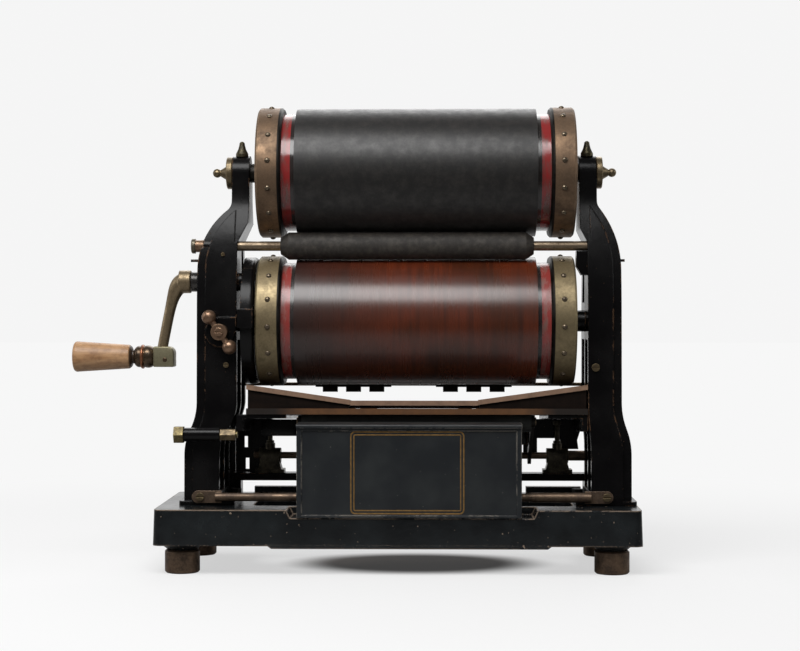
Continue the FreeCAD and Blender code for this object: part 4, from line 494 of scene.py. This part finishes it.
if bare_nodes:
    raise SystemExit("these nodes have no finish: " + ", ".join(bare_nodes))
print("dressed", len(dressed), "nodes")

# %% [markdown]
# ## Domed studs
# Fifteen studs on each rim hold the edge of the stencil. The working model has them as plain pins, because
# nothing more is needed to catch on them. The real ones have low domed heads. Each dome is the upper half
# of a small sphere, closed at its foot by the bisect and turned to its own place around the axle.

# %% Studs on both drums
STUDS_PER_RIM = 15
PIN_RADIUS = 2.3 * MM       # of the plain pins that the domes stand for
STUD_RADIUS = 2.9 * MM      # of a dome, which covers the pin's hole
STUD_HEIGHT = 2.3 * MM
RIM_TO_TOP = 68.7 * MM      # from the axle to the top of a stud
FOOT_CUT = 0.01             # a dome begins this share of its height above its foot
STUD_PHASE = {"upper_drum": 6.5, "lower_drum": -5.0}    # degrees up from the front to a stud


def dome(name, lay, radius, height):
    """A closed low dome; lay is the matrix that puts its foot in place, with its top along the matrix's Z."""
    bpy.ops.object.select_all(action="DESELECT")
    bpy.ops.mesh.primitive_uv_sphere_add(segments=16, ring_count=10, radius=1.0)
    made = bpy.context.active_object
    made.name = name
    bpy.ops.object.mode_set(mode="EDIT")
    bpy.ops.mesh.select_all(action="SELECT")
    bpy.ops.mesh.bisect(plane_co=(0, 0, FOOT_CUT), plane_no=(0, 0, 1), use_fill=True, clear_inner=True)
    bpy.ops.object.mode_set(mode="OBJECT")
    made.data.transform(lay @ Matrix.Diagonal((radius, radius, height, 1.0)))
    bpy.ops.object.shade_smooth()
    return made


def joined(name, parts):
    """Several pieces made into one."""
    bpy.ops.object.select_all(action="DESELECT")
    for part in parts:
        part.select_set(True)
    bpy.context.view_layer.objects.active = parts[0]
    bpy.ops.object.join()
    whole = bpy.context.active_object
    whole.name = name
    return whole


def stud_rings(drum, phase):
    """Both rings of studs of a drum as one piece, in the place of the pins."""
    pins = drum + "_studs"
    low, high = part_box(pins)
    drum_low, drum_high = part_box(drum)
    axle = (drum_low + drum_high) / 2
    domes = []
    for x in (low.x + PIN_RADIUS, high.x - PIN_RADIUS):
        for step in range(STUDS_PER_RIM):
            angle = phase + 360 * step / STUDS_PER_RIM
            turn = Matrix.Rotation(math.radians(90 - angle), 4, "X")
            rise = Matrix.Translation((0, 0, RIM_TO_TOP - STUD_HEIGHT))
            lay = Matrix.Translation((x, axle.y, axle.z)) @ turn @ rise
            domes.append(dome(drum + "_domes", lay, STUD_RADIUS, STUD_HEIGHT))
    rings = joined(drum + "_domes", domes)
    rings.data.materials.append(stud_steel)
    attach(rings, drum + "_assembly")
    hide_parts(pins)
    print(rings.name, "faces", len(rings.data.polygons))


for drum, phase in STUD_PHASE.items():
    stud_rings(drum, phase)

# %% [markdown]
# ## The crank arm
# The arm is a bronze casting: a round hub, and a round rod that swells out of it and runs down to a square
# block. The rod is a curve with a radius at every point, turned into a mesh. The hub is a cylinder. A voxel
# remesh fuses the two, and a little smoothing leaves the soft hollow that a casting has where they meet.

# %% Cylinders and plates with rounded edges
def round_edges(piece, width):
    """Round the sharp edges of a piece with a Bevel modifier, and smooth its shading."""
    bevel = piece.modifiers.new("rounding", "BEVEL")
    bevel.width = width
    bevel.segments = 3
    bevel.limit_method = "ANGLE"
    bevel.angle_limit = math.radians(40)
    bpy.context.view_layer.objects.active = piece
    bpy.ops.object.modifier_apply(modifier="rounding")
    bpy.ops.object.shade_smooth_by_angle(angle=math.radians(35))


def cylinder_x(name, left, right, radius, y, z, edge):
    """A cylinder along X with rounded rims."""
    bpy.ops.object.select_all(action="DESELECT")
    bpy.ops.mesh.primitive_cylinder_add(vertices=64, radius=radius, depth=right - left)
    turned = bpy.context.active_object
    turned.name = name
    lay = Matrix.Translation(((left + right) / 2, y, z)) @ Matrix.Rotation(math.radians(90), 4, "Y")
    turned.data.transform(lay)
    round_edges(turned, edge)
    return turned


def plate(name, low, high, edge, corner=0.0):
    """A plate between two corners, with rounded edges; corner rounds the upper right one in the XZ plane."""
    bpy.ops.object.select_all(action="DESELECT")
    bpy.ops.mesh.primitive_cube_add(size=1.0)
    slab = bpy.context.active_object
    slab.name = name
    low, high = Vector(low), Vector(high)
    size = high - low
    slab.data.transform(Matrix.Translation((low + high) / 2) @ Matrix.Diagonal((size.x, size.y, size.z, 1.0)))
    if corner:
        bpy.ops.object.mode_set(mode="EDIT")
        bpy.ops.mesh.select_mode(type="EDGE")
        bpy.ops.mesh.select_all(action="DESELECT")
        bpy.ops.object.mode_set(mode="OBJECT")
        for edge_line in slab.data.edges:
            ends = [slab.data.vertices[i].co for i in edge_line.vertices]
            edge_line.select = all((end.x - high.x) ** 2 + (end.z - high.z) ** 2 < 1e-10 for end in ends)
        bpy.ops.object.mode_set(mode="EDIT")
        bpy.ops.mesh.bevel(offset=corner, segments=6)
        bpy.ops.object.mode_set(mode="OBJECT")
    round_edges(slab, edge)
    return slab


# %% The arm's casting, its block and its pin
ARM_PATH_MM = (             # X, Z and radius, from inside the hub down to inside the block
    (-168.5, 290.5, 10.4), (-174.0, 290.5, 10.4), (-179.8, 287.0, 9.4), (-184.2, 277.5, 6.8),
    (-187.4, 266.0, 5.5), (-191.4, 247.0, 5.4), (-195.4, 226.0, 5.4), (-197.0, 217.5, 5.4))
HUB_RADIUS = 11.7 * MM
HUB_LEFT, HUB_RIGHT = -178.7 * MM, -166.4 * MM
BLOCK_LEFT, BLOCK_RIGHT = -204.4 * MM, -183.2 * MM
BLOCK_LOW, BLOCK_HIGH = 203.5 * MM, 224.4 * MM
BLOCK_HALF_DEPTH = 9.5 * MM
BLOCK_PIN_X, BLOCK_PIN_Z = -192.3 * MM, 210.9 * MM
BLOCK_PIN_RADIUS, BLOCK_PIN_HEIGHT = 2.3 * MM, 0.6 * MM
COLLAR_LEFT, COLLAR_RIGHT = -165.8 * MM, -158.6 * MM
COLLAR_RADIUS = 10.2 * MM
HUB_EDGE, BLOCK_EDGE, COLLAR_EDGE = 0.8 * MM, 1.4 * MM, 0.6 * MM    # how far each is rounded
BLOCK_CORNER = 7.0 * MM     # of the block's upper corner, on the machine's side
CASTING_VOXEL = 0.7 * MM

arm_low, arm_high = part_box("crank_arm")
CRANK_Y = (arm_low.y + arm_high.y) / 2
CRANK_Z = arm_high.z - HUB_RADIUS


def arm_rod(name):
    """The arm's round rod, as a mesh."""
    bpy.ops.object.select_all(action="DESELECT")
    bpy.ops.curve.primitive_nurbs_path_add()
    rod = bpy.context.active_object
    rod.name = name
    spline = rod.data.splines[0]
    spline.points.add(len(ARM_PATH_MM) - len(spline.points))
    for point, (x, z, radius) in zip(spline.points, ARM_PATH_MM):
        point.co = (x * MM, CRANK_Y, z * MM, 1.0)
        point.radius = radius
    spline.order_u = 4
    spline.use_endpoint_u = True
    rod.data.bevel_depth = 1.0 * MM
    rod.data.bevel_resolution = 8
    rod.data.use_fill_caps = True
    bpy.ops.object.convert(target="MESH")
    return bpy.context.active_object


hub = cylinder_x("crank_hub", HUB_LEFT, HUB_RIGHT, HUB_RADIUS, CRANK_Y, CRANK_Z, HUB_EDGE)
casting = joined("crank_casting", [hub, arm_rod("crank_rod")])
fuse = casting.modifiers.new("fuse", "REMESH")
fuse.mode = "VOXEL"
fuse.voxel_size = CASTING_VOXEL
fuse.use_smooth_shade = True
bpy.ops.object.modifier_apply(modifier="fuse")
soften = casting.modifiers.new("soften", "SMOOTH")
soften.factor = 0.5
soften.iterations = 5
bpy.ops.object.modifier_apply(modifier="soften")

block = plate("crank_end_block", (BLOCK_LEFT, CRANK_Y - BLOCK_HALF_DEPTH, BLOCK_LOW),
              (BLOCK_RIGHT, CRANK_Y + BLOCK_HALF_DEPTH, BLOCK_HIGH), BLOCK_EDGE, corner=BLOCK_CORNER)
to_face = Matrix.Translation((BLOCK_PIN_X, CRANK_Y - BLOCK_HALF_DEPTH, BLOCK_PIN_Z))
facing_front = to_face @ Matrix.Rotation(math.radians(90), 4, "X")
pin = dome("crank_block_pin", facing_front, BLOCK_PIN_RADIUS, BLOCK_PIN_HEIGHT)
for piece, finish in ((casting, arm_bronze), (block, block_bronze), (pin, ferrule_bronze)):
    piece.data.materials.clear()
    piece.data.materials.append(finish)
    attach(piece, "crank")
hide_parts("crank_arm")
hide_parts("crank_arm")
print("crank casting faces", len(casting.data.polygons))

# %% A polished collar where the crank shaft enters the frame
collar = cylinder_x("crank_collar", COLLAR_LEFT, COLLAR_RIGHT, COLLAR_RADIUS, CRANK_Y, CRANK_Z, COLLAR_EDGE)
collar.data.materials.append(bush_steel)
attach(collar, "frame")

# %% [markdown]
# ## The cover of the box
# The cover is a sheet of tin whose front edge is rolled over and turned down a few millimetres. It is a copy
# of the working cover, with its hinge. The copy's loose triangles are merged, the lip is drawn up, and its
# front edge is bevelled to a roll.

# %% A rolled edge on the cover
LIP_RISE = 4.6 * MM
ROLL_RADIUS = 2.0 * MM
SAME_PLACE = 0.01 * MM      # nearer than this, two points count as one
LIP_POINTS = 0.5 * MM       # the lip's points lie within this of the lowest one

cover_low, cover_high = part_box("box_cover")
cover = bpy.data.objects.new("rolled_box_cover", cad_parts["box_cover"].data.copy())
bpy.context.scene.collection.objects.link(cover)
bpy.ops.object.select_all(action="DESELECT")
cover.select_set(True)
bpy.context.view_layer.objects.active = cover
if cover.data.has_custom_normals:
    bpy.ops.mesh.customdata_custom_splitnormals_clear()
bpy.ops.object.mode_set(mode="EDIT")
bpy.ops.mesh.select_mode(type="VERT")
bpy.ops.mesh.select_all(action="SELECT")
bpy.ops.mesh.remove_doubles(threshold=SAME_PLACE)
bpy.ops.mesh.dissolve_limited(angle_limit=math.radians(1))
bpy.ops.mesh.select_all(action="DESELECT")
bpy.ops.object.mode_set(mode="OBJECT")
for vertex in cover.data.vertices:
    vertex.select = vertex.co.z < cover_low.z + LIP_POINTS
bpy.ops.object.mode_set(mode="EDIT")
bpy.ops.transform.translate(value=(0.0, 0.0, LIP_RISE))
bpy.ops.mesh.select_mode(type="EDGE")
bpy.ops.mesh.select_all(action="DESELECT")
bpy.ops.object.mode_set(mode="OBJECT")
for line in cover.data.edges:
    ends = [cover.data.vertices[i].co for i in line.vertices]
    at_front = all(abs(end.y - cover_low.y) < SAME_PLACE for end in ends)
    at_top = all(abs(end.z - cover_high.z) < SAME_PLACE for end in ends)
    line.select = at_front and at_top
bpy.ops.object.mode_set(mode="EDIT")
bpy.ops.mesh.bevel(offset=ROLL_RADIUS, segments=5)
bpy.ops.object.mode_set(mode="OBJECT")
bpy.ops.object.shade_smooth_by_angle(angle=math.radians(35))
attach(cover, "cover")
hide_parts("box_cover")
print("cover faces", len(cover.data.polygons))

# %% [markdown]
# ## Brackets and packing under the table
# A bracket stands on the bed behind the left frame, and a thin dark strip, painted shade, is put in the gap
# under the middle board where only shade shows between the boards.
# Two guards are set under the rear board, beside the arms of the rocker. They are as high as the board's rear
# edge, and the board rises towards the front, so nearly 5 mm stays open above them. Each plate is a cube
# stretched to its two corners, with its edges rounded.

# %% Plates on and under the fixed parts
BED_TOP_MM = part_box("cross_bar")[0].z / MM
BOARD_UNDER_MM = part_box("rear_lower_board")[0].z / MM       # at its rear edge, the lowest
BOARD_TOP_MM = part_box("front_lower_board")[1].z / MM
CENTRE_UNDER_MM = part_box("front_centre_board")[0].z / MM
PLATE_EDGE = 0.4 * MM
PLATES_MM = {
    "left_rear_bracket": ((-142.0, 58.0, BED_TOP_MM), (-131.9, 61.0, 150.0)),
    "left_roller_guard": ((-101.0, 27.0, 128.5), (-60.0, 30.0, BOARD_UNDER_MM)),
    "right_roller_guard": ((169.0, 27.0, 119.5), (180.5, 30.0, BOARD_UNDER_MM)),
    # a dark strip put where the gap under the middle board is in shade: painted shade
    "centre_shade_strip": ((-1.5, -57.0, BOARD_TOP_MM), (125.0, -50.0, CENTRE_UNDER_MM)),
}
for name, corners in PLATES_MM.items():
    low, high = (Vector(corner) * MM for corner in corners)
    slab = plate(name, low, high, PLATE_EDGE)
    wooden = "strip" in name
    slab.data.materials.append(packing_wood_and_shade if wooden else black_japan)
    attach(slab, "frame")
print("plates", len(PLATES_MM))

# %% [markdown]
# ## The gold line on the box
# The front of the box carries a double line in gold paint, and nothing inside it. Paint is thin, so each
# line is a flat frame a tenth of a millimetre thick: a plane has its corners rounded by a bevel and is
# inset, its middle face is deleted, and a Solidify modifier gives what is left its thickness.

# %% Gold lines
GOLD_LEFT, GOLD_RIGHT = -0.3 * MM, 112.0 * MM
GOLD_LOW, GOLD_HIGH = 60.6 * MM, 142.4 * MM
GOLD_SPACING = 3.1 * MM
GOLD_OUTER_WIDTH, GOLD_INNER_WIDTH = 1.4 * MM, 1.2 * MM
GOLD_CORNER = 5.0 * MM
PAINT_THICKNESS = 0.1 * MM
PANEL_DEPTH = 1.2 * MM

gold_paint = stained_metal("old_gold_paint", "#b08a52", "#7a5f38", 0.50, 5.0)


def gold_line(name, margin, width):
    """A flat rectangular line with rounded corners on the box's front panel."""
    face_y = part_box("box_casing")[0].y + PANEL_DEPTH
    across, up = GOLD_RIGHT - GOLD_LEFT - 2 * margin, GOLD_HIGH - GOLD_LOW - 2 * margin
    bpy.ops.object.select_all(action="DESELECT")
    bpy.ops.mesh.primitive_plane_add(size=1.0)
    line = bpy.context.active_object
    line.name = name
    shift = Matrix.Translation(((GOLD_LEFT + GOLD_RIGHT) / 2, face_y, (GOLD_LOW + GOLD_HIGH) / 2))
    stand = Matrix.Rotation(math.radians(90), 4, "X") @ Matrix.Diagonal((across, up, 1.0, 1.0))
    line.data.transform(shift @ stand)
    bpy.ops.object.mode_set(mode="EDIT")
    bpy.ops.mesh.select_all(action="SELECT")
    bpy.ops.mesh.bevel(offset=GOLD_CORNER - margin, segments=5, affect="VERTICES")
    bpy.ops.mesh.select_all(action="SELECT")
    bpy.ops.mesh.inset(thickness=width)
    bpy.ops.mesh.delete(type="FACE")
    bpy.ops.object.mode_set(mode="OBJECT")
    solid = line.modifiers.new("paint", "SOLIDIFY")
    solid.thickness = PAINT_THICKNESS
    solid.offset = 1.0
    bpy.ops.object.modifier_apply(modifier="paint")
    line.data.materials.append(gold_paint)
    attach(line, "frame")
    print(name, "faces", len(line.data.polygons))


gold_line("gold_outer_line", 0.0, GOLD_OUTER_WIDTH)
gold_line("gold_inner_line", GOLD_SPACING, GOLD_INNER_WIDTH)

# %% [markdown]
# ## Floor
# The floor is pale paper, so large that it runs on into the background, and it looks white to the camera.
# Near the machine part of that white is lit by the lamps, and that part takes the shadow. The rest glows by
# itself, and only for rays that come from the camera or from a mirror-like surface, so it adds no light.
# In reflections the paper is white behind the machine and fades towards the viewer's side of the room. An
# oval of painted shadow under the base, a darker paper colour with less glow, stands for the deep shadow
# there.

# %% Pale paper
FLOOR_SIZE = 30.0
PAPER_WHITE = 0.93
PAPER_GLOW = 0.59           # what stays of the white in full shadow near the machine
PAPER_ALBEDO = 0.34
SHADOW_OVAL_GLOW = 0.05           # the same in the painted shadow under the base
SHADOW_OVAL_ALBEDO = "#6b635d"    # painted shadow colour of the paper under the base
SHADE_NEAR, SHADE_FAR = 0.36, 1.05
UNDER_NEAR, UNDER_FAR = 0.05, 0.09      # the base is 0.091 deep on either side of its middle
UNDER_NARROWING = 0.6       # along the machine, which draws the circle out to an oval
MIRROR_NEAR, MIRROR_FAR = 0.1, 1.0      # Y between which the mirrored paper turns from dark to white
MIRROR_DARK = 0.03

bpy.ops.object.select_all(action="DESELECT")
bpy.ops.mesh.primitive_plane_add(size=FLOOR_SIZE)
floor = bpy.context.active_object
floor.name = "studio_floor"
paper, tree, shader, place = new_material("pale_floor_paper")
away = add(tree, "ShaderNodeVectorMath", {0: place}, operation="LENGTH").outputs["Value"]
near = add(tree, "ShaderNodeMapRange", {"Value": away, "From Min": SHADE_NEAR, "From Max": SHADE_FAR,
                                        "To Min": 1.0, "To Max": 0.0},
           interpolation_type="SMOOTHSTEP").outputs[0]
base_low, base_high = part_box("base_casting")
base_middle_y = (base_low.y + base_high.y) / 2
narrow = add(tree, "ShaderNodeMapping", {"Vector": place, "Scale": (UNDER_NARROWING, 1.0, 1.0),
                                         "Location": (-UNDER_NARROWING * MID_PLANE_X, -base_middle_y, 0.0)
                                         }).outputs[0]
across = add(tree, "ShaderNodeVectorMath", {0: narrow}, operation="LENGTH").outputs["Value"]
# the oval of painted shadow under the base: 1 inside it, fading to 0 at its edge
shadow_oval = add(tree, "ShaderNodeMapRange", {"Value": across, "From Min": UNDER_NEAR, "From Max": UNDER_FAR,
                                         "To Min": 1.0, "To Max": 0.0},
            interpolation_type="SMOOTHSTEP").outputs[0]
lit = add(tree, "ShaderNodeMapRange", {"Value": near, "To Min": PAPER_WHITE, "To Max": PAPER_GLOW}).outputs[0]
seen = add(tree, "ShaderNodeMix", {0: shadow_oval, 2: lit, 3: SHADOW_OVAL_GLOW}).outputs[0]
open_paper = add(tree, "ShaderNodeMath", {0: near, 1: PAPER_ALBEDO}, operation="MULTIPLY").outputs[0]
albedo = add(tree, "ShaderNodeMix", {0: shadow_oval, 6: open_paper, 7: linear(SHADOW_OVAL_ALBEDO)},
             data_type="RGBA").outputs[2]
tree.links.new(albedo, shader.inputs["Base Color"])
shader.inputs["Roughness"].default_value = 0.9
shader.inputs["Specular IOR Level"].default_value = 0.0
depth = add(tree, "ShaderNodeSeparateXYZ", {0: place}).outputs["Y"]
mirrored = add(tree, "ShaderNodeMapRange", {"Value": depth, "From Min": MIRROR_NEAR, "From Max": MIRROR_FAR,
                                            "To Min": MIRROR_DARK, "To Max": PAPER_WHITE}).outputs[0]
rays = add(tree, "ShaderNodeLightPath").outputs
clear = add(tree, "ShaderNodeMath", {0: rays["Is Glossy Ray"], 1: rays["Is Transmission Ray"]},
            operation="MAXIMUM").outputs[0]
to_mirror = add(tree, "ShaderNodeMath", {0: clear, 1: mirrored}, operation="MULTIPLY").outputs[0]
to_camera = add(tree, "ShaderNodeMath", {0: rays["Is Camera Ray"], 1: seen}, operation="MULTIPLY").outputs[0]
glow = add(tree, "ShaderNodeMath", {0: to_mirror, 1: to_camera}, operation="MAXIMUM").outputs[0]
tree.links.new(glow, shader.inputs["Emission Strength"])
shader.inputs["Emission Color"].default_value = (1.0, 1.0, 1.0, 1.0)
floor.data.materials.append(paper)

# %% [markdown]
# ## World and lamps
# The world is white to the camera. In reflections it is white behind the machine and dark on the viewer's
# side, as a real studio is, or every black surface would turn grey. One broad lamp hangs above and in front,
# and draws the long highlights on the drums. A weaker one stands behind, and two faint ones at the sides.

# %% World
WORLD_WHITE = 0.915
WORLD_FILL = 0.28
ROOM_DARK = 0.11            # the viewer's side of the room, in reflections
ROOM_FRONT, ROOM_BACK = 0.25, 0.85      # Y of a ray's direction between which the room turns white

world = bpy.data.worlds.new("studio")
bpy.context.scene.world = world
world.use_nodes = True
tree = world.node_tree
tree.nodes.clear()
way = add(tree, "ShaderNodeTexCoord").outputs["Generated"]
parts = add(tree, "ShaderNodeSeparateXYZ", {0: way}).outputs
behind = add(tree, "ShaderNodeMapRange", {"Value": parts["Y"], "From Min": ROOM_FRONT, "From Max": ROOM_BACK,
                                          "To Min": ROOM_DARK, "To Max": WORLD_WHITE}).outputs[0]
rays = add(tree, "ShaderNodeLightPath").outputs
clear = add(tree, "ShaderNodeMath", {0: rays["Is Glossy Ray"], 1: rays["Is Transmission Ray"]},
            operation="MAXIMUM").outputs[0]
mirrored = add(tree, "ShaderNodeMix", {0: clear, 2: WORLD_FILL, 3: behind}).outputs[0]
strength = add(tree, "ShaderNodeMix", {0: rays["Is Camera Ray"], 2: mirrored, 3: WORLD_WHITE}).outputs[0]
sky = add(tree, "ShaderNodeBackground", {"Color": (1.0, 1.0, 1.0, 1.0), "Strength": strength}).outputs[0]
add(tree, "ShaderNodeOutputWorld", {"Surface": sky})

# %% Lamps
low, high = cad_bounds
middle = (Vector(low) + Vector(high)) / 2


def soft_lamp(name, place, width, height, watts):
    """A rectangular soft lamp that faces the machine."""
    light = bpy.data.lights.new(name, "AREA")
    light.shape = "RECTANGLE"
    light.size = width
    light.size_y = height
    light.energy = watts
    lamp = bpy.data.objects.new(name, light)
    bpy.context.scene.collection.objects.link(lamp)
    lamp.location = place
    lamp.rotation_euler = (middle - Vector(place)).to_track_quat("-Z", "Y").to_euler()
    lamp.visible_camera = False


soft_lamp("key_lamp", (-0.26, -0.76, 1.22), 1.15, 0.60, 14.5)
soft_lamp("rear_lamp", (0.10, 1.30, 1.35), 1.4, 1.0, 10.0)
soft_lamp("left_lamp", (-1.8, -0.1, 0.9), 0.9, 0.9, 4.0)
soft_lamp("right_lamp", (1.8, -0.1, 0.9), 0.9, 0.9, 4.0)

# %% Camera
CAMERA_PLACE = (0.08468, -1.8215, 0.2555)
CAMERA_YAW = 1.2
CAMERA_PITCH = -0.311
LENS_MM, SENSOR_MM = 78.75, 36.0

view = bpy.data.cameras.new("front_camera")
view.lens = LENS_MM
view.sensor_width = SENSOR_MM
view.sensor_fit = "HORIZONTAL"
camera = bpy.data.objects.new("front_camera", view)
bpy.context.scene.collection.objects.link(camera)
camera.location = CAMERA_PLACE
camera.rotation_euler = (math.radians(90 + CAMERA_PITCH), 0.0, math.radians(CAMERA_YAW))
bpy.context.scene.camera = camera
bpy.context.scene.view_settings.view_transform = "Standard"
